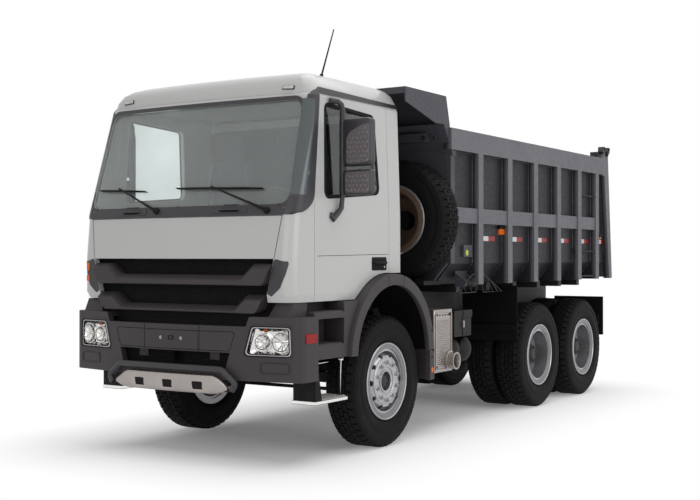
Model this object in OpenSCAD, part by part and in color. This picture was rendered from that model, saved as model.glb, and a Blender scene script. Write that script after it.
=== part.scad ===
// Three-axle dump truck with a cab over the engine and a rear-tipping steel bed.
// X points forward, Y to the left and Z up, in millimetres.
// The origin is on the ground at the middle of the truck's length.
// Inside placed(), X is measured from the front axle.

/* [Wheels] */
// Front axle to middle axle
wheelbase = 3300; // [3280:10:3340]
// Middle axle to rear axle
tandem = 1350; // [1340:10:1380]
// Outer radius of a tyre
tyre_r = 590; // [585:1:594]
// Width of a tyre
tyre_w = 320; // [310:1:322]
// Outer radius of a rim's flange
flange_r = 342; // [336:1:346]
// Middle of a front wheel from the truck's middle
front_track = 1003; // [1000:1:1010]
// Middle of an outer rear wheel from the truck's middle
rear_track = 1058; // [1055:1:1064]

/* [Chassis] */
// Outer half width of the frame rails
rail_y = 465; // [460:1:466]
// Height of a frame rail
rail_h = 300; // [290:5:300]
// Top of the frame rails above the ground
rail_top = 1060; // [1058:1:1062]

/* [Cab] */
// Half width of the cab
cab_half = 1150; // [1140:1:1156]
// Rear face of the cab behind the front axle
cab_back = 270; // [262:1:278]
// Thickness of the cab's walls and doors
cab_wall = 55; // [50:1:58]
// Underside of the painted cab
cab_low = 1340; // [1338:1:1346]
// Top of the doors
door_top = 3046; // [3044:1:3048]

/* [Bumper] */
// Half width of the bumper
bumper_half = 1240; // [1232:1:1244]
// Underside of the bumper
bumper_low = 710; // [704:1:716]
// Front of the bumper ahead of the front axle
bumper_front = 1600; // [1590:1:1606]

/* [Bed] */
// Half width of the bed over its ribs
bed_half = 1250; // [1244:1:1256]
// Top of the bed's side rails
bed_top = 2960; // [2940:5:2970]
// Depth of the bed's ribs
rib_depth = 75; // [70:1:80]

/* [Hidden] */
$fn = 64;

// Overall place: the front axle ahead of the middle of the length
front_axle_x = 1945;
seat_gap = 0.3;

// Colours
paint_grey = [0.70, 0.70, 0.69];
plastic_grey = [0.25, 0.23, 0.24];
steel_grey = [0.34, 0.34, 0.37];
chassis_black = [0.07, 0.07, 0.07];
rubber = [0.05, 0.05, 0.05];
bright_metal = [0.78, 0.77, 0.75];
glass_tint = [0.35, 0.42, 0.42];

// Wheel values
mid_axle = -wheelbase;
rear_axle = -wheelbase - tandem;
bead_r = 306;
rim_w = 252;
flange_t = 12;
dual_spacing = 350;
vent_r = 23;
vent_ring_r = 238;
vents = 10;
kingpin_y = front_track - 138;
kingpin_r = 26;
axle_tube_r = 75;
spindle_r = 40;

// Frame values
rail_t = 80;
rail_low = rail_top - rail_h;
rail_front = 1300;
rail_back = -5230;
rail_in = rail_y - rail_t;
gearbox_back = -1150;
pinion_reach = 240;

// Bed values
bed_front = -1130;
bed_back = -5455;
sheet_y = bed_half - rib_depth;
sheet_t = 14;
floor_z = 1430;
floor_t = 16;
floor_half = 985;
knee_z = 1645;
sill_low = rail_top + 5;
rib_x = [-1695, -2404, -3093, -3767, -4421, -5020];
rib_w = 110;
bed_pivot = [-5200, 1115];
gate_hinge = [-5362, 3030];
gate_lean = 5;

// Hoist values: a base shaft below the rails, a pin under the bed's floor
hoist_base = [-2750, 520];
hoist_pin = [-2700, 1320];
hoist_y = 230;
hoist_run = hoist_pin - hoist_base;
hoist_len = norm(hoist_run);
hoist_lean = atan2(hoist_run[0], hoist_run[1]);
// Outer radius of each telescoping tube, from the barrel inwards
hoist_r = [95, 80, 66, 52];
// Top of each tube along the hoist
hoist_tops = [735, 748, 760];
slide_gap = 0.05;

// Cab values: one row per level of the cab's outline, from the bottom to the crown
// height, rear X, front X, half width
cab_levels = [
  [cab_low, -cab_back, 1500, cab_half - 8],
  [1400, -cab_back, 1530, cab_half],
  [1700, -cab_back, 1530, cab_half],
  [2060, -cab_back, 1495, cab_half],
  [3030, -cab_back, 1215, cab_half - 32],
  [3110, -cab_back + 8, 1150, cab_half - 60],
  [3180, -cab_back + 70, 1010, cab_half - 140],
  [3225, -cab_back + 220, 700, cab_half - 300]
];
cab_bow = 42;
cab_corner = 110;
cab_rear_corner = 60;
cab_floor_z = 1560;
cab_clear = cab_half + 150;
door_in = cab_half - 250;
grille_half = cab_half - 165;
door_back = -20;
door_front_low = 1157;
door_front_top = 1040;
door_split_z = 2200;
door_gap = 4;

// Fender arch: a circle over the front wheel, seen from the side
arch_c = [10, 830];
arch_r = 723;
arch_band = 100;
arch_sheet = 25;
arch_leg_front = 866;
arch_leg_back = 547;

// Spare wheel, upright behind the cab
spare_at = [-935, 740, 2062];

// Shifts what is measured from the front axle into the part's frame
module placed() translate([front_axle_x, 0, 0]) children();

// Draws the left side and its mirror image
module both_sides() {
  children();
  mirror([0, 1, 0]) children();
}

// A side-view outline (X, Z) between two Y planes
module side_solid(y0, y1) translate([0, y1, 0]) rotate([90, 0, 0]) linear_extrude(y1 - y0) children();

// A front-view outline (Y, Z) between two X planes
module front_solid(x0, x1) translate([x0, 0, 0]) rotate([90, 0, 90]) linear_extrude(x1 - x0) children();

// A box from its low corner to its high corner
module span(a, b) translate(a) cube(b - a);

// A cylinder along Y between two Y planes
module y_rod(x, z, r, y0, y1) translate([x, y1, z]) rotate([90, 0, 0]) cylinder(h = y1 - y0, r = r);

// Points of an arc
function arc(c, r, a0, a1, n) = [for (i = [0:n]) let (a = a0 + (a1 - a0) * i / n) [c[0] + r * cos(a), c[1] + r * sin(a)]];

// Frame, engine and axles

module frame_rails() color(chassis_black) placed() both_sides()
  span([rail_back, rail_in, rail_low], [rail_front, rail_y, rail_top]);

module crossmembers() color(chassis_black) placed() {
  // X and Z of each plain cross tube
  for (c = [[1150, 900], [-1500, 940], [-2050, 940], [-3975, 960]])
    y_rod(c[0], c[1], 55, -rail_in, rail_in);
  // Front beam with the tow socket
  difference() {
    span([rail_front, -rail_y, 780], [rail_front + 90, rail_y, 980]);
    translate([rail_front + 30, 0, 880]) rotate([0, 90, 0]) cylinder(h = 100, r = 26);
  }
  // Rear beam with the tow jaw and its upright pin bore
  difference() {
    union() {
      span([rail_back - 40, -1180, 840], [rail_back, 1180, 960]);
      span([rail_back - 190, -90, 860], [rail_back - 40, 90, 940]);
    }
    translate([rail_back - 130, 0, 800]) cylinder(h = 200, r = 20);
    span([rail_back - 195, -60, 882], [rail_back - 70, 60, 918]);
  }
  // Pivot ears of the bed at the rail ends
  both_sides() for (y = [rail_in - 40, rail_y + 4])
    difference() {
      span([rail_back, y, 900], [bed_pivot[0] + 70, y + 36, bed_pivot[1] + 45]);
      y_rod(bed_pivot[0], bed_pivot[1], 25.05, y - 1, y + 37);
    }
  // Hoist base: a cross shaft between two drop plates
  both_sides() span([hoist_base[0] - 80, rail_in - 20, 450], [hoist_base[0] + 80, rail_in, 900]);
  y_rod(hoist_base[0], hoist_base[1], 40, -(rail_in - 20), rail_in - 20);
}

module engine_block() color([0.3, 0.3, 0.3]) placed() {
  span([-350, -330, 700], [1000, 330, 1500]);
  span([gearbox_back, -230, 720], [-350, 230, 1120]);
  both_sides() span([300, 330, 850], [500, rail_in, 950]);
}

module propshafts() color(chassis_black) placed() {
  // Front and rear end of each shaft: X, Z
  for (s = [[gearbox_back, 840, mid_axle + pinion_reach, 640], [mid_axle - pinion_reach, 640, rear_axle + pinion_reach, 640]]) {
    run = [s[2] - s[0], s[3] - s[1]];
    extra = 40;
    intersection() {
      translate([s[0], 0, s[1]]) rotate([0, 90 - atan2(run[1], run[0]), 0]) translate([0, 0, -extra])
        cylinder(h = norm(run) + 2 * extra, r = 55);
      span([s[2] + seat_gap, -100, 400], [s[0] - seat_gap, 100, 1100]);
    }
  }
}

module front_axle() color(chassis_black) placed() difference() {
  union() {
    span([-45, -kingpin_y, 545], [45, kingpin_y, 635]);
    both_sides() translate([0, kingpin_y, 520]) cylinder(h = 140, r = 55);
  }
  both_sides() translate([0, kingpin_y, 510]) cylinder(h = 160, r = kingpin_r + slide_gap);
}

module drive_axles() color(chassis_black) placed() for (x = [mid_axle, rear_axle]) {
  y_rod(x, tyre_r, axle_tube_r, -850, 850);
  translate([x, 0, tyre_r]) sphere(r = 235);
  translate([x, 0, 640]) rotate([0, 90, 0]) cylinder(h = 2 * pinion_reach, r = 90, center = true);
}

module leaf_springs() color(chassis_black) placed() both_sides() {
  spring_y = [rail_in, rail_y - 8];
  // Front spring: a flat pack on the axle beam, hung from two brackets
  side_solid(spring_y[0], spring_y[1]) polygon([
    [-640, rail_low], [-640, 670], [-400, 640], [-120, 635], [120, 635], [400, 640], [640, 670], [640, rail_low],
    [560, rail_low], [560, 720], [120, 705], [-120, 705], [-560, 720], [-560, rail_low]
  ]);
  // Rear spring: one pack on a centre saddle, its ends over the two axles
  mid = (mid_axle + rear_axle) / 2;
  end = tandem / 2 + 90;
  tip = tyre_r + axle_tube_r;
  side_solid(spring_y[0], spring_y[1]) polygon([
    [mid - end, tip], [mid + end, tip], [mid + end, tip + 45], [mid + 110, rail_low - 20], [mid + 110, rail_low],
    [mid - 110, rail_low], [mid - 110, rail_low - 20], [mid - end, tip + 45]
  ]);
}

// Steering

// Where a steering arm meets the tie rod: X, Y
arm_end = [-280, front_track - 287];
arm_low = 465;

module knuckle() {
  // Kingpin, upper and lower fork, outer plate and spindle
  translate([0, kingpin_y, 460]) cylinder(h = 260, r = kingpin_r);
  for (z = [[660.3, 720], [460, 519.7]]) span([-62, kingpin_y - 50, z[0]], [62, kingpin_y + 100, z[1]]);
  span([-62, kingpin_y + 64, 460], [62, kingpin_y + 100, 720]);
  y_rod(0, tyre_r, spindle_r, kingpin_y + 100, front_track + 55);
  // Steering arm to the rear
  translate([0, 0, arm_low]) linear_extrude(30) polygon([
    [-50, kingpin_y - 50], [-50, kingpin_y + 20], [arm_end[0] - 30, arm_end[1] + 28], [arm_end[0] - 30, arm_end[1] - 28]
  ]);
}
module knuckle_left() color(chassis_black) placed() knuckle();
module knuckle_right() color(chassis_black) placed() mirror([0, 1, 0]) knuckle();

module tie_rod() color(chassis_black) placed() {
  eye_h = 39;
  y_rod(arm_end[0], arm_low - eye_h + 17, 17, -arm_end[1], arm_end[1]);
  both_sides() translate([arm_end[0], arm_end[1], arm_low - eye_h]) cylinder(h = eye_h - seat_gap, r = 30);
}

// Wheels: profiles turn about the wheel's own axis, drawn as (radius, offset)

// The tyre's ring, with its beads inside the flanges and a rounded shoulder
module tyre_ring() {
  half = tyre_w / 2;
  bead_half = rim_w / 2 - 2;
  profile = [
    [bead_r, bead_half], [flange_r + 4, bead_half], [flange_r + 40, half - 14], [430, half], [490, half - 2],
    [tyre_r - 28, half - 12], [tyre_r - 8, half - 22], [tyre_r, half - 42]
  ];
  mirrored = [for (i = [len(profile) - 1:-1:0]) [profile[i][0], -profile[i][1]]];
  rotate_extrude($fn = 72) polygon(concat(profile, mirrored));
}

// A rim: barrel with two flanges, a cone to the bolt ring and vent holes
// dish is the offset of the bolt ring's face from the wheel's middle
module rim(dish, bore) {
  edge = rim_w / 2;
  inner = bead_r - 36;
  difference() {
    rotate_extrude($fn = 96) union() {
      translate([inner, -edge]) square([bead_r - 0.5 - inner, rim_w]);
      for (s = [-1, 1]) translate([inner + 20, s > 0 ? edge : -edge - flange_t]) square([flange_r - inner - 20, flange_t]);
      polygon([[inner, dish * 0.34], [inner, dish * 0.34 + 26], [228, dish], [bore, dish], [bore, dish - 16], [220, dish - 16]]);
    }
    for (i = [0:vents - 1]) rotate([0, 0, 360 * i / vents]) translate([vent_ring_r, 0, -200]) cylinder(h = 400, r = vent_r);
  }
}

// A front wheel about its own middle, axis along Z, outer side up
module front_wheel() {
  rim(128, 95);
  // Hub behind the disc, with a recess in front and a blind bore for the spindle
  difference() {
    translate([0, 0, -14]) cylinder(h = 130, r = 150);
    translate([0, 0, 84]) cylinder(h = 60, r = 95);
    translate([0, 0, -20]) cylinder(h = 121 - 40, r = spindle_r + slide_gap);
  }
  translate([0, 0, 84]) cylinder(h = 26, r = 62);
}

// A pair of rear wheels about the plane between them, axis along Z, outer side up
module twin_wheels() {
  half = dual_spacing / 2;
  translate([0, 0, half]) rim(-half + 16, 100);
  translate([0, 0, -half]) rotate([180, 0, 0]) rim(-half + 16, 100);
  // Hub through both discs and the brake drum on the inside
  difference() {
    union() {
      translate([0, 0, -20]) cylinder(h = 150, r = 130);
      translate([0, 0, -260]) cylinder(h = 246, r = 200);
    }
    translate([0, 0, -262]) cylinder(h = 252, r = axle_tube_r + slide_gap);
  }
}

module on_axle(x, y, side) placed() translate([x, side * y, tyre_r]) rotate([-90 * side, 0, 0]) children();

module front_tyre(side) color(rubber) on_axle(0, front_track, side) tyre_ring();
module twin_tyres(x, side) color(rubber) on_axle(x, rear_track - dual_spacing / 2, side)
  for (s = [-1, 1]) translate([0, 0, s * dual_spacing / 2]) tyre_ring();
module front_rim(side) color(bright_metal) on_axle(0, front_track, side) front_wheel();
module twin_rims(x, side) color(bright_metal) on_axle(x, rear_track - dual_spacing / 2, side) twin_wheels();

module wheel_front_left() front_rim(1);
module tyre_front_left() front_tyre(1);
module wheel_front_right() front_rim(-1);
module tyre_front_right() front_tyre(-1);
module wheel_mid_left() twin_rims(mid_axle, 1);
module tyre_mid_left() twin_tyres(mid_axle, 1);
module wheel_mid_right() twin_rims(mid_axle, -1);
module tyre_mid_right() twin_tyres(mid_axle, -1);
module wheel_rear_left() twin_rims(rear_axle, 1);
module tyre_rear_left() twin_tyres(rear_axle, 1);
module wheel_rear_right() twin_rims(rear_axle, -1);
module tyre_rear_right() twin_tyres(rear_axle, -1);

// Spare wheel and its carrier

module on_carrier() placed() translate(spare_at) rotate([0, 90, 0]) children();
module spare_tyre() color(rubber) on_carrier() tyre_ring();
module spare_rim() color([0.35, 0.27, 0.22]) on_carrier() rim(-128, 95);
module spare_carrier() color(chassis_black) placed() {
  foot_z = spare_at[2] - tyre_r;
  back = spare_at[0] - tyre_w / 2;
  // Two posts on the left rail and a bracket, a sill under the tyre, a back plate with a hub boss
  for (x = [-800, -1000]) span([x - 40, rail_in, rail_top], [x + 40, rail_y, foot_z - 40]);
  span([back - 22, rail_in - 40, foot_z - 40], [-760, 1100, foot_z - seat_gap]);
  span([back - 22, 660, foot_z - 40], [back - 2, 820, spare_at[2] + 90]);
  translate([back - 4, spare_at[1], spare_at[2]]) rotate([0, 90, 0]) cylinder(h = 150, r = 90);
}

// Cab

// One level of the cab's outline, inset from its walls
module cab_level(row, inset) {
  half = row[3] - inset;
  back = row[1] + inset;
  front = row[2] - inset;
  front_r = max(cab_corner - inset, 20);
  rear_r = max(cab_rear_corner - inset, 10);
  bow_half = half - front_r;
  translate([0, 0, row[0]]) linear_extrude(0.01) hull() {
    for (s = [-1, 1]) {
      translate([front - cab_bow - front_r, s * bow_half]) circle(r = front_r, $fn = 32);
      translate([back + rear_r, s * (half - rear_r)]) circle(r = rear_r, $fn = 24);
    }
    polygon([for (i = [-4:4]) [front - cab_bow * pow(i / 4, 2), bow_half * i / 4]]);
  }
}

// The cab's whole form, inset by a wall's thickness
module cab_form(inset) {
  top = len(cab_levels) - 1;
  hull() for (i = [0:top]) {
    drop = i == top ? inset : i > 4 ? inset * 0.7 : 0;
    translate([0, 0, -drop]) cab_level(cab_levels[i], inset);
  }
}

// The cab's wall between two insets
module cab_skin(outer, inner) difference() {
  cab_form(outer);
  translate([0, 0, -1]) cab_form(inner);
  // Clears the plane at the bottom of the inner form
  span([-cab_back + inner, -cab_half + inner, cab_low - 10], [1380, cab_half - inner, cab_low + 20]);
}

// The door's outline from the side, grown by a gap
module door_outline(grow) difference() {
  polygon([
    [door_back - grow, cab_low - grow], [door_front_low + grow, cab_low - grow], [door_front_low + grow, door_split_z],
    [door_front_top + grow, door_top + grow], [door_back - grow, door_top + grow]
  ]);
  translate(arch_c) circle(r = arch_r + 10 - grow);
}

// The door's window from the side
module door_window(inset) offset(r = 60 - inset) offset(delta = -60)
  polygon([[150, 2270], [992, 2200], [958, 2972], [206, 2935]]);

// The windscreen's opening from the front
module screen_outline(grow) offset(r = 90 + grow) offset(delta = -90)
  polygon([[62 - cab_half, 2128], [cab_half - 62, 2128], [cab_half - 98, 2992], [98 - cab_half, 2992]]);

// The grille's opening from the front
module grille_outline(grow) offset(delta = grow)
  polygon([[-grille_half, 1690], [grille_half, 1690], [grille_half - 80, 1330], [80 - grille_half, 1330]]);

// The dark corner piece beside the grille, from the front
module corner_outline(grow) offset(delta = grow) polygon(concat(
  [[grille_half - 63, 1400], [grille_half + 3, 1690], [cab_clear, 1690], [cab_clear, 1470]],
  arc([grille_half + 75, 1480], 80, -50, -90, 4)
));

module cab_front() color(paint_grey) placed() difference() {
  cab_skin(0, cab_wall);
  side_solid(-cab_clear, cab_clear) polygon([
    [-1000, 1000], [door_front_low + door_gap, 1000], [door_front_low + door_gap, door_split_z],
    [door_front_top + door_gap, door_top], [door_front_top + door_gap, 4000], [-1000, 4000]
  ]);
  span([0, -cab_clear, door_top], [2000, cab_clear, 4000]);
  front_solid(900, 2000) screen_outline(0);
  front_solid(1300, 2000) grille_outline(0);
  both_sides() front_solid(1380, 2000) corner_outline(0);
}

module cab_roof() color(paint_grey) placed() intersection() {
  cab_skin(0, cab_wall);
  span([-500, -cab_clear, door_top], [2000, cab_clear, 4000]);
}

module cab_rear() color(paint_grey) placed() intersection() {
  cab_skin(0, cab_wall);
  span([-500, -cab_clear, cab_floor_z], [door_back - door_gap, cab_clear, door_top]);
}

module cab_floor() color(plastic_grey) placed() {
  intersection() {
    cab_form(cab_wall + seat_gap);
    span([-500, -cab_clear, cab_floor_z], [1390, cab_clear, cab_floor_z + 50]);
  }
  // Cab mounts on the rails
  both_sides() for (x = [-200, 1080]) span([x - 50, rail_in, rail_top], [x + 50, rail_y, cab_floor_z]);
}

module windscreen() color(glass_tint) placed() intersection() {
  cab_skin(14, 22);
  front_solid(1000, 2000) screen_outline(-seat_gap);
}

// Dark frame around the windscreen, and the bands along the pillars and over the doors
module cab_trim() color(plastic_grey) placed() intersection() {
  trim_gap = 0.8;
  cab_skin(-9, -trim_gap);
  union() {
    difference() {
      front_solid(1000, 2000) screen_outline(34);
      front_solid(900, 2100) screen_outline(0);
    }
    front_solid(1380, 2000)
      polygon([[105 - cab_half, 2040], [cab_half - 105, 2040], [cab_half - 75, 2096], [75 - cab_half, 2096]]);
    both_sides() side_solid(door_in, cab_clear) polygon([
      [door_front_low + 6, 2215], [door_front_low + 100, 2160], [door_front_top + 82, door_top + 6],
      [door_front_top + 20, door_top + 62], [-cab_back - 30, door_top + 40], [-cab_back - 30, door_top + 6],
      [door_front_top + 6, door_top + 6]
    ]);
  }
}

module door_panel() difference() {
  intersection() {
    cab_skin(0, cab_wall);
    side_solid(door_in, cab_clear) door_outline(0);
  }
  side_solid(door_in - 100, cab_clear + 100) door_window(0);
}
module door_pane() intersection() {
  cab_skin(20, 27);
  side_solid(door_in, cab_clear) door_window(seat_gap);
}

// Mirror: two housings on an upright pillar, carried by the door at its top and bottom
module mirror_unit() {
  back_x = 755;
  front_x = 840;
  pillar = [cab_half + 8, cab_half + 68];
  outer = cab_half + 340;
  for (z = [[2218, 2426], [2458, 2855]]) translate([0, 0, z[0]]) linear_extrude(z[1] - z[0]) offset(r = 26) offset(delta = -26)
    polygon([[back_x, pillar[1]], [front_x, pillar[1]], [front_x, outer], [back_x, outer]]);
  span([back_x + 12, pillar[0], 2218], [front_x - 12, pillar[1] + 30, 2855]);
  // Arms from the pillar to the door: each leg is a line of X, Y, Z points
  for (leg = [[[800, pillar[0] + 30, 2850], [835, cab_half + 40, 2995], [905, cab_half - 31, 3005]],
      [[800, pillar[0] + 30, 2225], [806, cab_half + 28, 2110], [903, cab_half - 2, 2019]]])
    for (i = [0:1]) hull() {
      translate(leg[i]) sphere(r = 20, $fn = 16);
      translate(leg[i + 1]) sphere(r = 20, $fn = 16);
    }
}
module mirror_solid() difference() {
  mirror_unit();
  cab_form(-seat_gap);
}

module door_left() color(paint_grey) placed() door_panel();
module door_glass_left() color(glass_tint) placed() door_pane();
module mirror_left() color(plastic_grey) placed() mirror_solid();
module door_right() color(paint_grey) placed() mirror([0, 1, 0]) door_panel();
module door_glass_right() color(glass_tint) placed() mirror([0, 1, 0]) door_pane();
module mirror_right() color(plastic_grey) placed() mirror([0, 1, 0]) mirror_solid();

module seats() color([0.2, 0.2, 0.22]) placed() both_sides() {
  base_z = cab_floor_z + 50;
  span([100, 420, base_z], [480, 780, 1930]);
  span([60, 350, 1930], [560, 850, 2060]);
  side_solid(360, 840) polygon([[60, 2060], [190, 2060], [90, 2640], [0, 2820], [-90, 2820], [-30, 2600]]);
}

// Dashboard, steering column and wheel
module dashboard() color([0.16, 0.16, 0.17]) placed() {
  side_solid(110 - cab_half, cab_half - 110) polygon([[1330, 1800], [1330, 2085], [1290, 2100], [1000, 2070], [960, 1960], [1050, 1800]]);
  both_sides() span([1150, door_in - 60, cab_floor_z + 50], [1300, door_in + 60, 1801]);
  translate([990, 600, 2010]) rotate([0, -62, 0]) {
    cylinder(h = 190, r = 30);
    translate([0, 0, 190]) {
      rotate_extrude($fn = 48) translate([215, 0]) circle(r = 17, $fn = 16);
      cylinder(h = 24, r = 60);
      for (a = [30, 150, 270]) rotate([0, 0, a]) span([0, -18, 2], [212, 18, 18]);
    }
  }
}

// Front

// Dark mesh panel with two broad slats that bend up at their ends, and the corner pieces beside them
module grille() color(plastic_grey) placed() {
  mesh_x = 1400;
  mesh_low = grille_half - 105;
  front_solid(mesh_x, mesh_x + 24)
    polygon([[-mesh_low, 1250], [mesh_low, 1250], [grille_half - 10, 1684], [10 - grille_half, 1684]]);
  // Top and bottom of each slat, and its half width at the top
  for (s = [[1650, 1475, grille_half - 13], [1400, 1250, grille_half - 80]]) {
    drop = 92;
    front_solid(mesh_x + 24, mesh_x + 140) polygon([
      [-s[2], s[0]], [-s[2] + 190, s[0]], [-s[2] + 300, s[0] - drop], [s[2] - 300, s[0] - drop], [s[2] - 190, s[0]],
      [s[2], s[0]], [s[2] - 45, s[1] + 30], [s[2] - 90, s[1]], [-s[2] + 90, s[1]], [-s[2] + 45, s[1] + 30]
    ]);
  }
  both_sides() span([rail_front + 90, 300, 960], [mesh_x, 420, 1300]);
  both_sides() intersection() {
    cab_skin(6, cab_wall - 15);
    front_solid(1380 + seat_gap, 2000) corner_outline(-seat_gap);
  }
}

// The bumper's outline in plan, inset from its face
module bumper_plan(inset) {
  half = bumper_half - inset;
  corner = 90;
  side_x = bumper_front - pow(bumper_half - corner, 2) / 11200 - inset;
  polygon(concat(
    [[1233, -half]], arc([side_x - corner, -half + corner], corner, -90, -8, 5),
    [for (i = [-6:6]) let (y = (half - corner) * i / 6) [bumper_front - y * y / 11200 - inset, y]],
    arc([side_x - corner, half - corner], corner, 8, 90, 5), [[1233, half]]
  ));
}

// A headlamp from the front, grown by a gap
module lamp_outline(grow) offset(r = 34 + grow) offset(delta = -34)
  polygon([[732, 915], [1150, 915], [1142, 1146], [800, 1146]]);

module bumper() color(plastic_grey) placed() {
  difference() {
    translate([0, 0, bumper_low]) linear_extrude(1225 - bumper_low) bumper_plan(0);
    translate([0, 0, bumper_low - 10]) linear_extrude(1195 - bumper_low) bumper_plan(60);
    // Dip in the middle of the top edge
    front_solid(1200, 1700) polygon([[-810, 1300], [-748, 1145], [748, 1145], [810, 1300]]);
    // Lower opening
    front_solid(1450, 1700) polygon([[-600, 930], [600, 930], [560, 800], [-560, 800]]);
    both_sides() front_solid(1380, 1700) lamp_outline(0);
    span([1200, -1120, 600], [1320, 1120, 1300]);
  }
  // Shoulders up to the cab
  both_sides() intersection() {
    side_solid(800, 1130) polygon([[1240, 1225], [1470, 1225], [1420, 1334], [1240, 1334]]);
    front_solid(1200, 1500) polygon([[915, 1225], [1130, 1225], [1130, 1334], [960, 1334]]);
  }
  // Brackets to the front beam
  both_sides() span([rail_front + 90, 340, 860], [1500, 440, 960]);
  both_sides() span([1490, 340, 931], [1560, 440, 1120]);
}

// Headlamps in the bumper and tail lamps on the rear beam
module lamps() color(bright_metal) placed() both_sides() {
  intersection() {
    translate([0, 0, 800]) linear_extrude(500) difference() {
      bumper_plan(8);
      bumper_plan(70);
    }
    front_solid(1380, 1700) lamp_outline(-seat_gap);
  }
  span([rail_back - 110, 900, 1010], [rail_back - 62 - seat_gap, 1200, 1180]);
}

// Silver plate inside a dark hoop under the bumper
module skid_bar() color(bright_metal) placed() {
  skid_x = bumper_front + 4;
  front_solid(skid_x, skid_x + 68) polygon([
    [-560, 812], [560, 812], [700, 690], [650, 620], [540, 590], [-540, 590], [-650, 620], [-700, 690]
  ]);
  both_sides() span([rail_front, 340, 630], [skid_x, 440, 700]);
  both_sides() span([rail_front, 340, 700], [rail_front + 60, 440, 780]);
}

module step_wells() color(plastic_grey) placed() both_sides() difference() {
  span([560, 860, 870], [1232, 1200, 1332]);
  translate([0, 1300, 0]) rotate([90, 0, 0]) linear_extrude(500) translate(arch_c) circle(r = arch_r + seat_gap);
  // Recess over each step: low and high
  for (z = [[985, 1200], [1250, 1340]]) span([790, 985, z[0]], [1240, 1210, z[1]]);
  span([600, 850, 800], [1020, 960, 1300]);
}

module hanging_steps() color(bright_metal) placed() both_sides() {
  span([716, 950, 503], [1190, 1180, 535]);
  span([1160, 960, 535], [1190, 1170, 869.5]);
  translate([742, 1120, 535]) cylinder(h = 334.5, r = 9);
}

// Fender: a wide lip over a sheet arch, with a stay to the frame rail
module arch_ring(width) difference() {
  translate(arch_c) circle(r = arch_r, $fn = 96);
  translate(arch_c) circle(r = arch_r - width, $fn = 96);
  translate([0, -2000 + arch_leg_front]) square([2000, 2000]);
  translate([-2000, -2000 + arch_c[1]]) square([2000, 2000]);
}
module fenders() color(plastic_grey) placed() both_sides() {
  leg_x = arch_c[0] - arch_r;
  side_solid(700, 1190) arch_ring(arch_sheet);
  side_solid(1190, 1240) arch_ring(arch_band);
  span([leg_x, 700, arch_leg_back], [leg_x + arch_sheet, 1190, arch_c[1]]);
  span([leg_x, 1190, arch_leg_back], [leg_x + arch_sheet + 60, 1240, arch_c[1]]);
  span([leg_x, rail_y, 780], [leg_x + arch_sheet, 700, 830]);
}

// Side equipment

module silencer() color(bright_metal) placed() {
  span([-1095, 560, 600], [-725, 1225, 1198]);
  span([-960, rail_y, 800], [-860, 560, 1000]);
  difference() {
    y_rod(-1040, 700, 75, 1225, 1310);
    y_rod(-1040, 700, 68, 1240, 1320);
  }
}

module battery_box() color([0.2, 0.2, 0.2]) placed() {
  span([-1665, 640, 905], [-1290, 1150, 1155]);
  span([-1560, rail_y, 940], [-1400, 640, 1040]);
  // Air tanks under the box: X of each axis
  for (x = [-1400, -1660]) {
    y_rod(x, 763, 122, 600, 1080);
    translate([x, 1080, 763]) rotate([-90, 0, 0]) rotate_extrude($fn = 48)
      polygon(concat([[0, 0]], arc([0, -102], 159, 39.9, 90, 6)));
    span([x - 20, 700, 870], [x + 20, 900, 905]);
  }
}

module fuel_tank() color(bright_metal) placed() {
  side_solid(-1190, -560) offset(r = 70) offset(delta = -70)
    polygon([[-1800, 560], [-800, 560], [-800, 1150], [-1800, 1150]]);
  for (x = [-1650, -1050]) span([x, -560, 800], [x + 80, -rail_y, 960]);
  translate([-950, -1000, 1150]) cylinder(h = 40, r = 55);
}

module mud_flaps() color(rubber) placed() both_sides() {
  // X of each flap, its top and its bottom
  for (f = [[-2640, 1390, 785], [rail_back - 62, 1190, 700]])
    span([f[0], 560, f[2]], [f[0] + 14, 1225, f[1]]);
  span([-2640, rail_y, 900], [-2600, 560, 960]);
  span([-2626, 560, 900], [-2600, 1200, 960]);
  span([rail_back - 48, 600, 850], [rail_back - 40, 1100, 950]);
}

module antenna() color(chassis_black) placed() difference() {
  translate([737, cab_half - 250, 3150]) rotate([0, -24, 0]) {
    cylinder(h = 130, r = 16);
    cylinder(h = 590, r1 = 9, r2 = 5);
  }
  cab_form(-seat_gap);
}

// Bed

module bed_floor() color(steel_grey) placed() {
  span([bed_back, -floor_half, floor_z], [bed_front - 40, floor_half, floor_z + floor_t]);
  // Long sills over the rails, ending in the pivot pins
  both_sides() difference() {
    span([bed_pivot[0] - 30, rail_in + 2, sill_low], [bed_front - 200, rail_y - 2, floor_z]);
    span([bed_pivot[0] - 50, 0, 1000], [bed_pivot[0] + 75, 600, bed_pivot[1] - 38]);
  }
  both_sides() y_rod(bed_pivot[0], bed_pivot[1], 25, rail_in - 42, rail_y + 42);
  // Cross bearers under the floor
  both_sides() for (x = rib_x) span([x - 45, rail_y - 2, 1340], [x + 45, floor_half, floor_z]);
  for (x = [-1500, -2300, -3500, -4700]) span([x - 45, -rail_in - 2, 1300], [x + 45, rail_in + 2, floor_z]);
  // Clevis plates for the hoist
  both_sides() for (s = [-1, 1]) translate([0, hoist_y + s * (hoist_r[3] + 15), 0])
    span([hoist_pin[0] - 50, -7.5, 1285], [hoist_pin[0] + 50, 7.5, floor_z]);
}

// Tail post outline from the side: it leans back with the gate
module tail_post() polygon([
  [-5240, bed_top], [-5300, 3075], [-5420, 3075], [-5570, 1423], [-5470, 1423], [-5440, 1700], [-5300, 2740], [-5240, 2740]
]);

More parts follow.
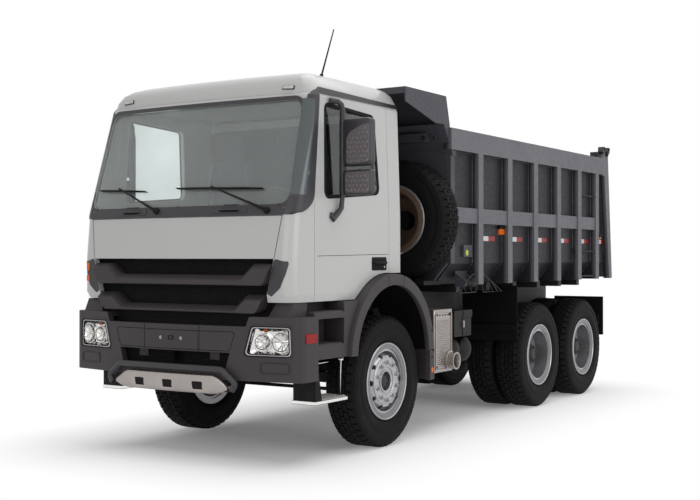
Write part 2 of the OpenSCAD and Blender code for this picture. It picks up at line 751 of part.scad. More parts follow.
module bed_sides() color(steel_grey) placed() both_sides() {
  rail_low_z = bed_top - 210;
  // Side sheet with its knee in to the floor
  front_solid(bed_back + 20, bed_front - 40) polygon([
    [floor_half, floor_z], [floor_half, floor_z + floor_t], [sheet_y - sheet_t, knee_z], [sheet_y - sheet_t, bed_top - 100],
    [sheet_y, bed_top - 100], [sheet_y, knee_z - 6], [floor_half + 20, floor_z]
  ]);
  // Top rail, middle rail and ribs
  span([-5240, sheet_y - sheet_t - 10, rail_low_z], [-1050, bed_half, bed_top]);
  span([rib_x[5], sheet_y, 2040], [bed_front - 40, bed_half - 15, 2190]);
  for (x = rib_x) front_solid(x - rib_w / 2, x + rib_w / 2) polygon([
    [bed_half, 1423], [bed_half, rail_low_z], [sheet_y - 1, rail_low_z], [sheet_y - 1, knee_z - 6],
    [floor_half + 20, floor_z], [floor_half + 20, 1423]
  ]);
  difference() {
    side_solid(sheet_y - sheet_t, bed_half - 8) tail_post();
    y_rod(gate_hinge[0], gate_hinge[1], 25.05, sheet_y - 100, bed_half + 10);
  }
}

// Front wall of the bed with the canopy over the cab's rear
module bed_headboard() color(steel_grey) placed() {
  wall = bed_front - 40;
  inner = sheet_y - sheet_t;
  top_z = 3257;
  sheet = 14;
  // Wall between the sides, with the corners cut by the knees
  front_solid(wall, bed_front) polygon([
    [-floor_half, floor_z + floor_t], [floor_half, floor_z + floor_t], [inner, knee_z], [inner, 2740], [-inner, 2740], [-inner, knee_z]
  ]);
  // Slanted upper wall out to the canopy
  side_solid(-inner + 30, inner - 30) polygon([[wall, 2740], [bed_front, 2740], [-950, 2990], [-1046, 2990]]);
  side_solid(-1225, 1225) polygon([[-199, top_z], [-199, top_z - sheet], [-971, top_z - sheet], [-1046, 2990],
    [-1046 - sheet, 2990], [-985, top_z]]);
  side_solid(-1225, 1225) polygon([[-199, top_z], [-199, 3196], [-213, 3196], [-213, top_z]]);
  both_sides() side_solid(1225 - sheet, 1225) polygon([[-199, top_z], [-975, top_z], [-1053, 2990], [-779, 2975], [-199, 3120]]);
  side_solid(-1225, 1225) polygon([[-1060, 2990], [-940, 2990], [-940, 2976], [-1060, 2976]]);
  // Stiffening beam on the slanted wall's face
  side_solid(-1000, 1000) polygon([[-1065, 2830], [-1007, 2910], [-957, 2910], [-957, 2830]]);
}

module tailgate() color(steel_grey) placed() {
  half = sheet_y - sheet_t - 6;
  thick = 60;
  depth = gate_hinge[1] - 1436;
  translate([gate_hinge[0], 0, gate_hinge[1]]) rotate([0, gate_lean, 0]) {
    span([-30, -half, -depth], [30, half, -60]);
    for (z = [-depth + 60, -depth * 0.55, -160]) span([-80, -half, z - 50], [-30, half, z + 50]);
    both_sides() for (y = [half - 70, 700]) span([-80, y - 50, -depth], [-30, y + 50, -60]);
    both_sides() {
      span([-30, half - 120, -62], [30, half, 30]);
      y_rod(0, 0, 25, half - 10, bed_half + 4);
    }
  }
}

// Hoist: two telescoping rams side by side, drawn along Z from the base shaft

module on_hoist() placed() both_sides() translate([hoist_base[0], hoist_y, hoist_base[1]]) rotate([0, hoist_lean, 0]) children();

module ram_tube(i, low) difference() {
  translate([0, 0, low]) cylinder(h = hoist_tops[i] - low, r = hoist_r[i]);
  translate([0, 0, low + 12]) cylinder(h = 900, r = hoist_r[i + 1] + slide_gap);
}

module hoist_barrels() color(chassis_black) on_hoist() difference() {
  union() {
    ram_tube(0, 46);
    rotate([90, 0, 0]) cylinder(h = 100, r = 62, center = true);
  }
  rotate([90, 0, 0]) cylinder(h = 120, r = 40 + slide_gap, center = true);
}
module hoist_stage_1() color(bright_metal) on_hoist() ram_tube(1, 66);
module hoist_stage_2() color(bright_metal) on_hoist() ram_tube(2, 80);
module hoist_stage_3() color(bright_metal) on_hoist() {
  translate([0, 0, 94]) cylinder(h = hoist_len - 120, r = hoist_r[3]);
  translate([0, 0, hoist_len]) rotate([90, 0, 0]) cylinder(h = 2 * hoist_r[3] + 14, r = 34, center = true);
}

frame_rails();
crossmembers();
engine_block();
propshafts();
front_axle();
drive_axles();
leaf_springs();
knuckle_left();
knuckle_right();
tie_rod();
wheel_front_left();
tyre_front_left();
wheel_front_right();
tyre_front_right();
wheel_mid_left();
tyre_mid_left();
wheel_mid_right();
tyre_mid_right();
wheel_rear_left();
tyre_rear_left();
wheel_rear_right();
tyre_rear_right();
cab_floor();
cab_rear();
cab_roof();
cab_front();
windscreen();
cab_trim();
door_left();
door_glass_left();
mirror_left();
door_right();
door_glass_right();
mirror_right();
seats();
dashboard();
grille();
bumper();
lamps();
skid_bar();
step_wells();
hanging_steps();
fenders();
silencer();
battery_box();
fuel_tank();
spare_tyre();
spare_rim();
spare_carrier();
mud_flaps();
antenna();
bed_floor();
bed_sides();
bed_headboard();
tailgate();
hoist_barrels();
hoist_stage_1();
hoist_stage_2();
hoist_stage_3();
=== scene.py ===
import math

import bmesh
import bpy
from mathutils import Matrix, Vector


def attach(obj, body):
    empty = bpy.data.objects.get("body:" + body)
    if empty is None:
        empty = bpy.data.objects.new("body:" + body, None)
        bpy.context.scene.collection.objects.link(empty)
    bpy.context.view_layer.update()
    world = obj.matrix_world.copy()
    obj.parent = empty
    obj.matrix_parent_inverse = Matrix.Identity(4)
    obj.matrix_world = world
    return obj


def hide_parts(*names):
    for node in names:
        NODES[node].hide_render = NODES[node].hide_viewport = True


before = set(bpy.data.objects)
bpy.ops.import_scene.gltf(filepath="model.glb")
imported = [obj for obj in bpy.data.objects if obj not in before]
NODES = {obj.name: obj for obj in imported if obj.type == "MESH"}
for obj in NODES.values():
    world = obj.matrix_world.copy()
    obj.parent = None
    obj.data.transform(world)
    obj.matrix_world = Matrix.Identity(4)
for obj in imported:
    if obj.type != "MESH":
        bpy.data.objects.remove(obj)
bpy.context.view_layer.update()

# Shapes are written in millimetres, with X measured from the front axle, as in the part's source
MM = 0.001
AXLE_X = 1945.0
TO_PART = Matrix.Translation((AXLE_X * MM, 0, 0)) @ Matrix.Diagonal((MM, MM, MM, 1))


# Materials

def srgb(r, g, b):
    """A colour written as 0 to 255, as the linear colour that a shader takes."""
    linear = []
    for value in (r, g, b):
        v = value / 255
        linear.append(v / 12.92 if v <= 0.04045 else ((v + 0.055) / 1.055) ** 2.4)
    return (*linear, 1.0)


def shaded(colour, share):
    return (colour[0] * share, colour[1] * share, colour[2] * share, 1.0)


class Tree:
    """A node tree with short ways to add nodes; an input takes a plain value or another node's output."""

    def __init__(self, tree):
        self.nodes = tree.nodes
        self.links = tree.links

    def feed(self, node, inputs):
        for key, value in inputs.items():
            if isinstance(value, bpy.types.NodeSocket):
                self.links.new(value, node.inputs[key])
            else:
                node.inputs[key].default_value = value

    def add(self, kind, inputs, **settings):
        node = self.nodes.new("ShaderNode" + kind)
        for key, value in settings.items():
            setattr(node, key, value)
        self.feed(node, inputs)
        return node

    def between(self, value, low, high, out_low=0.0, out_high=1.0):
        """Maps the range from low to high onto another one."""
        ends = {"From Min": low, "From Max": high, "To Min": out_low, "To Max": out_high}
        return self.add("MapRange", {"Value": value, **ends}).outputs["Result"]

    def seen_directly(self):
        """1 for rays that come from the camera, a mirror-like surface or glass."""
        path = self.add("LightPath", {})
        total = path.outputs["Is Camera Ray"]
        for name in ("Is Glossy Ray", "Is Transmission Ray"):
            total = self.add("Math", {0: total, 1: path.outputs[name]}, operation="MAXIMUM").outputs[0]
        return total


class Shader(Tree):
    """A new material with what every finish here uses."""

    def __init__(self, name):
        self.mat = bpy.data.materials.new(name)
        self.mat.use_nodes = True
        super().__init__(self.mat.node_tree)
        self.bsdf = self.nodes["Principled BSDF"]
        self.place = self.add("TexCoord", {}).outputs["Object"]

    def noise(self, scale, detail=3.0):
        return self.add("TexNoise", {"Scale": scale, "Detail": detail, "Vector": self.place}).outputs["Fac"]

    def axis(self, vector, name):
        return self.add("SeparateXYZ", {"Vector": vector}).outputs[name]

    def vector(self, operation, a, b=(0.0, 0.0, 0.0), out="Vector"):
        return self.add("VectorMath", {0: a, 1: b}, operation=operation).outputs[out]

    def mix(self, share, a, b):
        """Colour a where share is 0 and b where it is 1."""
        return self.add("Mix", {"Factor": share, 6: a, 7: b}, data_type="RGBA").outputs[2]

    def times(self, a, b):
        return self.add("Math", {0: a, 1: b}, operation="MULTIPLY").outputs[0]

    def bump(self, height, strength, depth):
        node = self.add("Bump", {"Strength": strength, "Distance": depth, "Height": height})
        self.feed(self.bsdf, {"Normal": node.outputs["Normal"]})

    def edges(self, radius):
        """Near 1 on outer edges, found from how a rounded normal departs from the true one."""
        bevel = self.add("Bevel", {"Radius": radius}, samples=4).outputs["Normal"]
        true_normal = self.add("NewGeometry", {}).outputs["True Normal"]
        return self.between(self.vector("DOT_PRODUCT", bevel, true_normal, "Value"), 0.99, 0.86)


# Metres: where a side counts as standing out and gets a painted highlight, where dust thins out, worn edges,
# and depth of grain
RIB_HIGHLIGHT_Y = (1.19, 1.232)
DUST_Z = (1.1, 0.25)
EDGE_WEAR = 0.005
GRAIN_DEPTH = 0.0006
DUST = srgb(112, 104, 97)


def finish(name, colour, low=0.88, patch=2.5, rough=(0.35, 0.5), fine=60.0, metal=0.0, coat=0.0,
           bump=0.0, grain=900.0, wear=None, dust=0.0, specular=0.5, outer=None):
    """A finish with soft patches of tone, uneven gloss, a grain, worn edges and dust near the ground.

    low is the tone of the darkest patches and patch their scale; rough is the range of roughness and
    fine its scale. outer is a colour for what stands out to the truck's sides; the bed's ribs get a paler one
    as a painted highlight.
    """
    sh = Shader(name)
    patches = sh.between(sh.noise(patch, 5.0), 0.3, 0.7)
    tone = sh.mix(patches, shaded(colour, low), colour)
    if outer:
        # Painted highlight on what stands out to the sides, such as the bed's ribs
        rib_highlight = sh.between(sh.axis(sh.vector("ABSOLUTE", sh.place), "Y"), *RIB_HIGHLIGHT_Y)
        tone = sh.mix(rib_highlight, tone, sh.mix(patches, shaded(outer, low), outer))
    if wear:
        tone = sh.mix(sh.times(sh.edges(EDGE_WEAR), sh.between(sh.noise(24.0), 0.35, 0.6)), tone, wear)
    if dust:
        low_down = sh.between(sh.axis(sh.place, "Z"), *DUST_Z, 0.0, dust)
        tone = sh.mix(sh.times(low_down, sh.between(sh.noise(7.0, 6.0), 0.35, 0.75)), tone, DUST)
    gloss = sh.between(sh.noise(fine, 4.0), 0.3, 0.7, *rough)
    sh.feed(sh.bsdf, {"Base Color": tone, "Roughness": gloss, "Metallic": metal,
                      "Specular IOR Level": specular, "Coat Weight": coat, "Coat Roughness": 0.08})
    if bump:
        sh.bump(sh.noise(grain, 2.0), bump, GRAIN_DEPTH)
    return sh.mat


def glass(name, colour, ior=1.45, sheen=0.5, clear=1.0):
    """Clear or tinted glass with a faint film of dust that dulls it unevenly. Where clear is below 1, the
    rest is a pale diffuse veil, a painted reflection of the sky.
    """
    sh = Shader(name)
    film = sh.between(sh.noise(1.4, 3.0), 0.3, 0.7)
    sh.feed(sh.bsdf, {"Base Color": sh.mix(film, shaded(colour, 0.86), colour),
                      "Roughness": sh.between(sh.noise(5.0), 0.3, 0.7, 0.0, 0.03),
                      "Transmission Weight": clear, "IOR": ior, "Specular IOR Level": sheen})
    return sh.mat


LENS_CELLS = 70.0


def lens(name, colour):
    """A coloured lamp or reflector lens with moulded cells."""
    sh = Shader(name)
    cell = sh.add("TexVoronoi", {"Scale": LENS_CELLS, "Vector": sh.place}).outputs["Distance"]
    sh.feed(sh.bsdf, {"Base Color": sh.mix(cell, colour, shaded(colour, 0.6)),
                      "Roughness": sh.between(sh.noise(80.0), 0.3, 0.7, 0.1, 0.22),
                      "Specular IOR Level": 0.2, "Coat Weight": 0.05})
    sh.bump(cell, 0.4, 0.002)
    return sh.mat


M = {
    "paint": finish("cab_paint", srgb(188, 188, 187), 0.97, 0.4, (0.3, 0.31), 1.0, coat=0.2),
    "plastic": finish("moulded_plastic", srgb(60, 55, 58), 0.9, 2.0, (0.48, 0.6), 90.0, bump=0.25, dust=0.06,
                      specular=0.32),
    "flank": finish("mirror_plate", srgb(92, 87, 90), 0.9, 2.0, (0.48, 0.6), 90.0, bump=0.2),
    "trim": finish("dark_trim", srgb(44, 41, 45), 0.88, 3.0, (0.38, 0.5), 90.0, bump=0.2),
    "black": finish("black_plastic", srgb(18, 17, 18), 0.8, 6.0, (0.5, 0.65), 90.0, bump=0.3, specular=0.15),
    "bed": finish("bed_steel", srgb(72, 71, 78), 0.84, 1.6, (0.42, 0.6), 22.0, metal=0.1, bump=0.12,
                  grain=400.0, wear=srgb(120, 119, 122), specular=0.3),
    # Sheets between the ribs take a darker copy of the bed steel as painted shade, and the ribs a paler outer
    # colour as painted highlight
    "bed_side": finish("bed_side_steel_painted_light", srgb(36, 35, 40), 0.84, 1.6, (0.4, 0.58), 22.0, metal=0.1, bump=0.12,
                       grain=400.0, wear=srgb(140, 139, 141), outer=srgb(104, 103, 109), specular=0.3),
    "bed_dark": finish("bed_underside", srgb(40, 39, 42), 0.8, 1.6, (0.5, 0.7), 22.0, bump=0.2, grain=400.0,
                       dust=0.1),
    "chassis": finish("chassis_black", srgb(24, 23, 24), 0.7, 4.0, (0.45, 0.65), 40.0, bump=0.2, dust=0.08,
                      specular=0.15),
    "iron": finish("engine_iron", srgb(34, 33, 33), 0.75, 8.0, (0.45, 0.65), 50.0, metal=0.1, bump=0.4,
                   dust=0.08, specular=0.2),
    "tyre": finish("tyre_rubber", srgb(23, 21, 22), 0.8, 9.0, (0.62, 0.8), 120.0, bump=0.35, dust=0.04,
                   specular=0.12),
    "flap": finish("flap_rubber", srgb(16, 15, 16), 0.8, 5.0, (0.6, 0.75), 60.0, bump=0.4, dust=0.06,
                   specular=0.1),
    "rim": finish("rim_silver", srgb(180, 179, 182), 0.86, 14.0, (0.26, 0.4), 80.0, metal=0.85, bump=0.08),
    "hub": finish("hub_paint", srgb(44, 42, 43), 0.75, 12.0, (0.4, 0.6), 60.0, metal=0.3, bump=0.2, dust=0.1),
    "brown": finish("rim_brown", srgb(118, 94, 80), 0.7, 9.0, (0.45, 0.65), 60.0, metal=0.3, bump=0.3),
    "bright": finish("bright_metal", srgb(168, 162, 158), 0.88, 6.0, (0.25, 0.4), 60.0, metal=0.9, bump=0.1),
    "ram": finish("ram_chrome", srgb(205, 205, 205), 0.92, 8.0, (0.1, 0.2), 50.0, metal=1.0),
    # The windscreen's pale veil, from clear below 1, is a painted reflection of the sky
    "glass": glass("window_glass", srgb(240, 247, 246), sheen=0.9, clear=0.9),
    # The near door's glass is tinted darker than the far door's same glass: painted shade
    "side_glass": glass("door_glass", srgb(200, 207, 207), sheen=0.1),
    "far_glass": glass("far_door_glass", srgb(244, 249, 248), sheen=0.1),
    "clear": glass("lamp_glass", srgb(244, 246, 246), ior=1.25),
    "cloth": finish("seat_cloth", srgb(62, 64, 68), 0.8, 30.0, (0.8, 0.95), 200.0, bump=0.5, grain=1400.0),
    "dash": finish("dash_plastic", srgb(58, 61, 62), 0.88, 4.0, (0.55, 0.7), 120.0, bump=0.3),
    "lining": finish("cab_lining", srgb(58, 61, 63), 0.86, 3.0, (0.75, 0.9), 60.0, bump=0.1),
    # An opaque strip in the windscreen's tone: painted reflection and painted shade of the cab behind the
    # glass
    "frit": finish("glass_look_painted_reflection", srgb(74, 81, 83), 0.95, 2.0, (0.06, 0.1), 30.0, specular=0.6),
    # A darker copy of the rim's silver: painted shade inside the rims' lips
    "shade": finish("rim_painted_shade", srgb(132, 131, 134), 0.85, 14.0, (0.35, 0.5), 80.0, metal=0.6, bump=0.1),
    "plate": finish("tread_plate", srgb(138, 131, 135), 0.92, 4.0, (0.4, 0.5), 90.0, bump=0.1),
    "chrome": finish("reflector_chrome", srgb(232, 230, 228), 0.94, 10.0, (0.04, 0.12), 60.0, metal=1.0),
    # Dark panel gaps and joints; the same finish makes dark sheets and discs that are painted shade behind
    # openings and in holes
    "gap": finish("panel_gap_and_painted_shade", srgb(22, 20, 21), 0.8, 8.0, (0.7, 0.85), 60.0, specular=0.2),
    "red": lens("red_lens", srgb(160, 8, 10)),
    "orange": lens("orange_lens", srgb(238, 112, 22)),
    "white": lens("white_lens", srgb(226, 226, 224)),
    "yellow": lens("yellow_lens", srgb(206, 226, 84)),
}

# The finish of each CAD node that stays in view
NODE_FINISH = {
    "paint": ["cab_rear", "cab_roof", "cab_front", "door_left", "door_right"],
    "plastic": ["bumper", "grille", "step_wells", "fenders", "mirror_left", "mirror_right", "cab_floor"],
    "trim": ["cab_trim"],
    "bed": ["bed_headboard", "tailgate"],
    "bed_dark": ["bed_floor"],
    "bed_side": ["bed_sides"],
    "chassis": ["frame_rails", "crossmembers", "propshafts", "front_axle", "drive_axles", "leaf_springs",
                "knuckle_left", "knuckle_right", "tie_rod", "spare_carrier", "hoist_barrels", "antenna",
                "hanging_steps"],
    "iron": ["engine_block", "battery_box"],
    "tyre": ["spare_tyre"] + [n for n in NODES if n.startswith("tyre_")],
    "flap": ["mud_flaps"],
    "rim": [n for n in NODES if n.startswith("wheel_")],
    "brown": ["spare_rim"],
    "bright": ["silencer", "fuel_tank", "skid_bar", "lamps"],
    "ram": ["hoist_stage_1", "hoist_stage_2", "hoist_stage_3"],
    "glass": ["windscreen"],
    "side_glass": ["door_glass_left"],
    "far_glass": ["door_glass_right"],
    "cloth": ["seats"],
    "dash": ["dashboard"],
}
for key, names in NODE_FINISH.items():
    for name in names:
        NODES[name].data.materials.clear()
        NODES[name].data.materials.append(M[key])


# Camera, floor and light

def point(x, y, z):
    return TO_PART @ Vector((x, y, z))


def placed(name, data):
    """A new object in the scene."""
    made = bpy.data.objects.new(name, data)
    bpy.context.scene.collection.objects.link(made)
    return made


camera = placed("camera", bpy.data.cameras.new("camera"))
bpy.context.scene.camera = camera
camera.data.sensor_width = 36.0
camera.data.lens = 58.45
camera.data.clip_end = 200.0
camera.location = point(8765.6, 6362.8, 1716.2)
YAW, PITCH = math.radians(212.634), math.radians(0.278)
aim = Vector((math.cos(YAW) * math.cos(PITCH), math.sin(YAW) * math.cos(PITCH), math.sin(PITCH)))
camera.rotation_mode = "QUATERNION"
camera.rotation_quaternion = aim.to_track_quat("-Z", "Y")

bpy.context.scene.view_settings.view_transform = "Standard"


WHITE = (1.0, 1.0, 1.0, 1.0)
world = bpy.data.worlds.new("studio")
bpy.context.scene.world = world
world.use_nodes = True
sky = Tree(world.node_tree)
# The sky lights the truck less than it shows
strength = sky.between(sky.seen_directly(), 0.0, 1.0, 0.42, 1.0)
sky.feed(sky.nodes["Background"], {"Color": WHITE, "Strength": strength})


def softbox(name, place, target, size, power):
    lamp = bpy.data.lights.new(name, "AREA")
    lamp.shape = "RECTANGLE"
    lamp.size, lamp.size_y = size
    lamp.energy = power
    box = placed(name, lamp)
    box.location = place
    box.rotation_mode = "QUATERNION"
    box.rotation_quaternion = (Vector(target) - Vector(place)).to_track_quat("-Z", "Y")


softbox("top_box", (-0.5, 1.5, 9.0), (0.0, 0.3, 0.0), (11.0, 8.0), 400.0)
softbox("front_box", (11.0, 3.0, 4.0), (2.0, 0.0, 1.5), (6.0, 5.0), 140.0)
softbox("side_box", (0.5, 11.0, 3.5), (0.0, 0.0, 1.6), (9.0, 4.0), 240.0)

floor_mesh = bpy.data.meshes.new("floor")
FLOOR = 60.0
floor_mesh.from_pydata([(-FLOOR, -FLOOR, 0), (FLOOR, -FLOOR, 0), (FLOOR, FLOOR, 0), (-FLOOR, FLOOR, 0)], [],
                       [(0, 1, 2, 3)])
floor = placed("floor", floor_mesh)
# Away from the truck's outline the floor fades into the white of the studio
PLAN_HALF = (3.0, 0.8, 0.0)
look = Shader("studio_floor")
beyond = look.vector("SUBTRACT", look.vector("ABSOLUTE", look.place), PLAN_HALF)
away = look.vector("LENGTH", look.vector("MAXIMUM", beyond), out="Value")
fade = look.times(look.between(away, 0.0, 1.5), look.seen_directly())
look.feed(look.bsdf, {"Base Color": look.mix(fade, (0.98, 0.98, 0.98, 1.0), (0.0, 0.0, 0.0, 1.0)),
                      "Roughness": 0.9, "Specular IOR Level": 0.0, "Emission Color": WHITE,
                      "Emission Strength": look.between(fade, 0.0, 1.0, 0.12, 1.0)})
floor_mesh.materials.append(look.mat)


# Shapes

AHEAD = (1, 0, 0)
BEHIND = (-1, 0, 0)
LEFT = (0, 1, 0)
RIGHT = (0, -1, 0)
UP = (0, 0, 1)


def side(u, v, w):
    """A side-view point (X, Z) at the depth Y."""
    return (u, w, v)


def front(u, v, w):
    """A front-view point (Y, Z) at the depth X."""
    return (w, u, v)


def plan(u, v, w):
    """A top-view point (X, Y) at the height Z."""
    return (u, v, w)


def rounded(corners, radius, steps=5):
    """An outline whose corners are replaced by arcs; radius is one number or one for each corner."""
    outline = []
    count = len(corners)
    radii = radius if isinstance(radius, (list, tuple)) else [radius] * count
    for i, corner in enumerate(corners):
        here = Vector(corner)
        back = Vector(corners[i - 1]) - here
        ahead = Vector(corners[(i + 1) % count]) - here
        half = back.angle(ahead) / 2
        reach = min(radii[i] / math.tan(half), back.length / 2.01, ahead.length / 2.01)
        if reach < 0.01:
            outline.append(tuple(here))
            continue
        start = here + back.normalized() * reach
        end = here + ahead.normalized() * reach
        for k in range(steps + 1):
            t = k / steps
            bend = start.lerp(here, t).lerp(here.lerp(end, t), t)
            outline.append(tuple(bend))
    return outline


def rectangle(low, high):
    return [(low[0], low[1]), (high[0], low[1]), (high[0], high[1]), (low[0], high[1])]


def plate(low, high, radius, steps=5):
    """A rectangle with rounded corners."""
    return rounded(rectangle(low, high), radius, steps)


def oval(middle, half_u, half_v, count):
    """An oval outline about a middle."""
    angles = [math.pi / (count / 2) * k for k in range(count)]
    return [(middle[0] + half_u * math.cos(a), middle[1] + half_v * math.sin(a)) for a in angles]


def drawn_in(outline, middle, u_share, v_share):
    """An outline drawn towards a middle by a share of the way in each of its measures."""
    u0, v0 = middle
    return [(u + (u0 - u) * u_share, v + (v0 - v) * v_share) for u, v in outline]


def polar(place, r, a, h):
    """A point at a radius, an angle and an offset about the Z axis of place."""
    return place @ Vector((r * math.cos(a), r * math.sin(a), h))


def lifted(spot_out, reach):
    """A point moved out of the surface that it lies on."""
    spot, out = spot_out
    return Vector(spot) + Vector(out).normalized() * reach


class Shape:
    """Faces collected in millimetres, turned into one piece at the end.

    looks names the finishes of the piece. Faces get the first one until look picks another.
    """

    def __init__(self, looks):
        self.bm = bmesh.new()
        self.looks = looks.split()
        self.mat = 0

    def look(self, name):
        """Picks the finish of the faces that follow."""
        self.mat = self.looks.index(name)

    def faces(self, points, loops):
        verts = [self.bm.verts.new(p) for p in points]
        for loop in loops:
            face = self.bm.faces.new([verts[i] for i in loop])
            face.material_index = self.mat

    def skin(self, rows, wrap=False, ring=True, caps=True):
        """Joins rows of points; ring closes each row, wrap joins the last row to the first."""
        count = len(rows[0])
        points = [p for row in rows for p in row]
        loops = []
        for i in range(len(rows) if wrap else len(rows) - 1):
            n = (i + 1) % len(rows)
            for j in range(count if ring else count - 1):
                k = (j + 1) % count
                loops.append((i * count + j, i * count + k, n * count + k, n * count + j))
        if caps and ring and not wrap:
            loops.append(tuple(reversed(range(count))))
            loops.append(tuple(range(len(points) - count, len(points))))
        self.faces(points, loops)

    def prism(self, outline, view, low, high):
        self.skin([[view(u, v, w) for u, v in outline] for w in (low, high)])

    def box(self, low, high):
        self.prism(rectangle(low, high), plan, low[2], high[2])

    def tube(self, path, radius, sides=8, wrap=False):
        """A round rod along a path; radius is one number or one for each point."""
        points = [Vector(p) for p in path]
        count = len(points)
        radii = radius if isinstance(radius, (list, tuple)) else [radius] * count
        across = None
        rows = []
        for i, here in enumerate(points):
            before = points[i - 1] if i or wrap else here
            after = points[(i + 1) % count] if i < count - 1 or wrap else here
            along = (after - before).normalized()
            if across is None:
                across = along.orthogonal().normalized()
            across = (across - along * across.dot(along)).normalized()
            up = along.cross(across)
            ring = []
            for k in range(sides):
                a = 2 * math.pi * k / sides
                ring.append(here + (across * math.cos(a) + up * math.sin(a)) * radii[i])
            rows.append(ring)
        self.skin(rows, wrap=wrap)

    def strip(self, path, width, height, sink=1.5):
        """A flat bar along (point, normal) pairs, standing on the surface that they lie on."""
        rows = []
        last = len(path) - 1
        closed = last > 1 and (Vector(path[0][0]) - Vector(path[last][0])).length < 0.01
        for i, (point_here, normal) in enumerate(path):
            here, out = Vector(point_here), Vector(normal).normalized()
            before = path[i - 1 if i else (last - 1 if closed else 0)][0]
            after = path[i + 1 if i < last else (1 if closed else last)][0]
            along = (Vector(after) - Vector(before)).normalized()
            across = out.cross(along).normalized() * (width / 2)
            rows.append([here - across - out * sink, here + across - out * sink,
                         here + across * 0.8 + out * height, here - across * 0.8 + out * height])
        if closed:
            self.skin(rows[:-1], wrap=True)
        else:
            self.skin(rows)

    def seam(self, points, surface, width, height, step=60.0, sink=1.5):
        """A bar along a line that is laid on a surface."""
        self.strip(along(points, surface, False, step), width, height, sink)

    def band(self, outline, surface, width, height, step=60.0, sink=1.5):
        """A bar round an outline that is laid on a surface."""
        self.strip(along(outline, surface, True, step), width, height, sink)

    def pad(self, outline, surface, height, sink=1.5, edge=3.0):
        """A low plate with a sloping edge; its outline is in the two measures of the surface."""
        middle = Vector((sum(u for u, v in outline), sum(v for u, v in outline))) / len(outline)
        rows = []
        for lift, pull in ((-sink, 0.0), (height * 0.4, 0.0), (height, edge)):
            ring = []
            for u, v in outline:
                inward = middle - Vector((u, v))
                spot = Vector((u, v)) + inward.normalized() * min(pull, inward.length * 0.4)
                ring.append(lifted(surface(*spot), lift))
            rows.append(ring)
        self.skin(rows)

    def fill(self, outline, surface, front_lift, back_lift, rows=10, columns=8):
        """A plate that follows a curved surface inside an outline, which each level crosses twice."""
        low = min(v for u, v in outline)
        high = max(v for u, v in outline)
        count = len(outline)
        rings = []
        for i in range(rows + 1):
            level = low + (high - low) * min(max(i / rows, 0.002), 0.998)
            crossings = []
            for k in range(count):
                (u0, v0), (u1, v1) = outline[k], outline[(k + 1) % count]
                if (v0 <= level) != (v1 <= level):
                    crossings.append(u0 + (u1 - u0) * (level - v0) / (v1 - v0))
            left, right = min(crossings), max(crossings)
            ring = []
            for lift in (front_lift, back_lift):
                row = []
                for j in range(columns + 1):
                    row.append(lifted(surface(left + (right - left) * j / columns, level), lift))
                ring += row if lift == front_lift else reversed(row)
            rings.append(ring)
        self.skin(rings)

    def pillow(self, place, size, plump=4.0):
        """A soft cushion about the middle of place, rounded more where plump is lower."""
        rows = []
        sides = 24
        levels = [-1.0, -0.96, -0.85, -0.6, -0.25, 0.25, 0.6, 0.85, 0.96, 1.0]
        for level in levels:
            share = max(1 - abs(level) ** plump, 0.02) ** (1 / plump)
            share = 0.82 + 0.18 * share
            ring = []
            for k in range(sides):
                a = 2 * math.pi * (k + 0.5) / sides
                c, s = math.cos(a), math.sin(a)
                grow = (abs(c) ** plump + abs(s) ** plump) ** (-1 / plump)
                x, y = c * grow * share * size[0] / 2, s * grow * share * size[1] / 2
                ring.append(place @ Vector((x, y, level * size[2] / 2)))
            rows.append(ring)
        self.skin(rows)

    def lathe(self, profile, place, steps=64):
        """Turns a closed outline of (radius, offset) points about the Z axis of place."""
        rows = []
        for i in range(steps):
            a = 2 * math.pi * i / steps
            rows.append([polar(place, r, a, h) for r, h in profile])
        self.skin(rows, wrap=True)

    def disc(self, profile, place, steps=32):
        """Stacks rings of (radius, offset) along the Z axis of place, closed at both ends."""
        rows = []
        for r, h in profile:
            angles = [2 * math.pi * i / steps for i in range(steps)]
            rows.append([polar(place, r, a, h) for a in angles])
        self.skin(rows)

    def mirror(self):
        """Adds the mirror image on the other side of the truck."""
        made = bmesh.ops.duplicate(self.bm, geom=self.bm.verts[:] + self.bm.edges[:] + self.bm.faces[:])
        verts = [g for g in made["geom"] if isinstance(g, bmesh.types.BMVert)]
        bmesh.ops.scale(self.bm, vec=(1, -1, 1), verts=verts)

    def flip(self):
        """Moves everything to the other side of the truck."""
        bmesh.ops.scale(self.bm, vec=(1, -1, 1), verts=self.bm.verts)

    def piece(self, name, body, bevel=0.0, angle=35, stands_for=()):
        """Makes the Blender object, gives it its finishes and sets it on its body."""
        bmesh.ops.recalc_face_normals(self.bm, faces=self.bm.faces)
        mesh = bpy.data.meshes.new(name)
        self.bm.to_mesh(mesh)
        self.bm.free()
        mesh.transform(TO_PART)
        for key in self.looks:
            mesh.materials.append(M[key])
        mesh.polygons.foreach_set("use_smooth", [True] * len(mesh.polygons))
        mesh.set_sharp_from_angle(angle=math.radians(angle))
        made = placed(name, mesh)
        if bevel:
            soften(made, bevel)
        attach(made, body)
        if stands_for:
            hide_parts(*stands_for)
        return made


def soften(made, width):
    """Rounds the sharp edges of an object by a width in millimetres."""
    rounding = made.modifiers.new("rounding", "BEVEL")
    rounding.width = width * MM
    rounding.segments = 2
    rounding.limit_method = "ANGLE"
    rounding.angle_limit = math.radians(40)
    rounding.harden_normals = True


# Edge rounding of CAD nodes, in millimetres
NODE_EDGES = {"bumper": 7, "fenders": 6, "step_wells": 6, "bed_sides": 4, "bed_headboard": 4, "tailgate": 4,
              "hanging_steps": 4, "silencer": 14, "battery_box": 8, "mud_flaps": 3, "bed_floor": 3,
              "frame_rails": 3, "dashboard": 12, "cab_trim": 2}
JOIN_REACH = 0.05
for name, width in NODE_EDGES.items():
    join = NODES[name].modifiers.new("join", "WELD")
    join.merge_threshold = JOIN_REACH * MM
    soften(NODES[name], width)


# Wheels

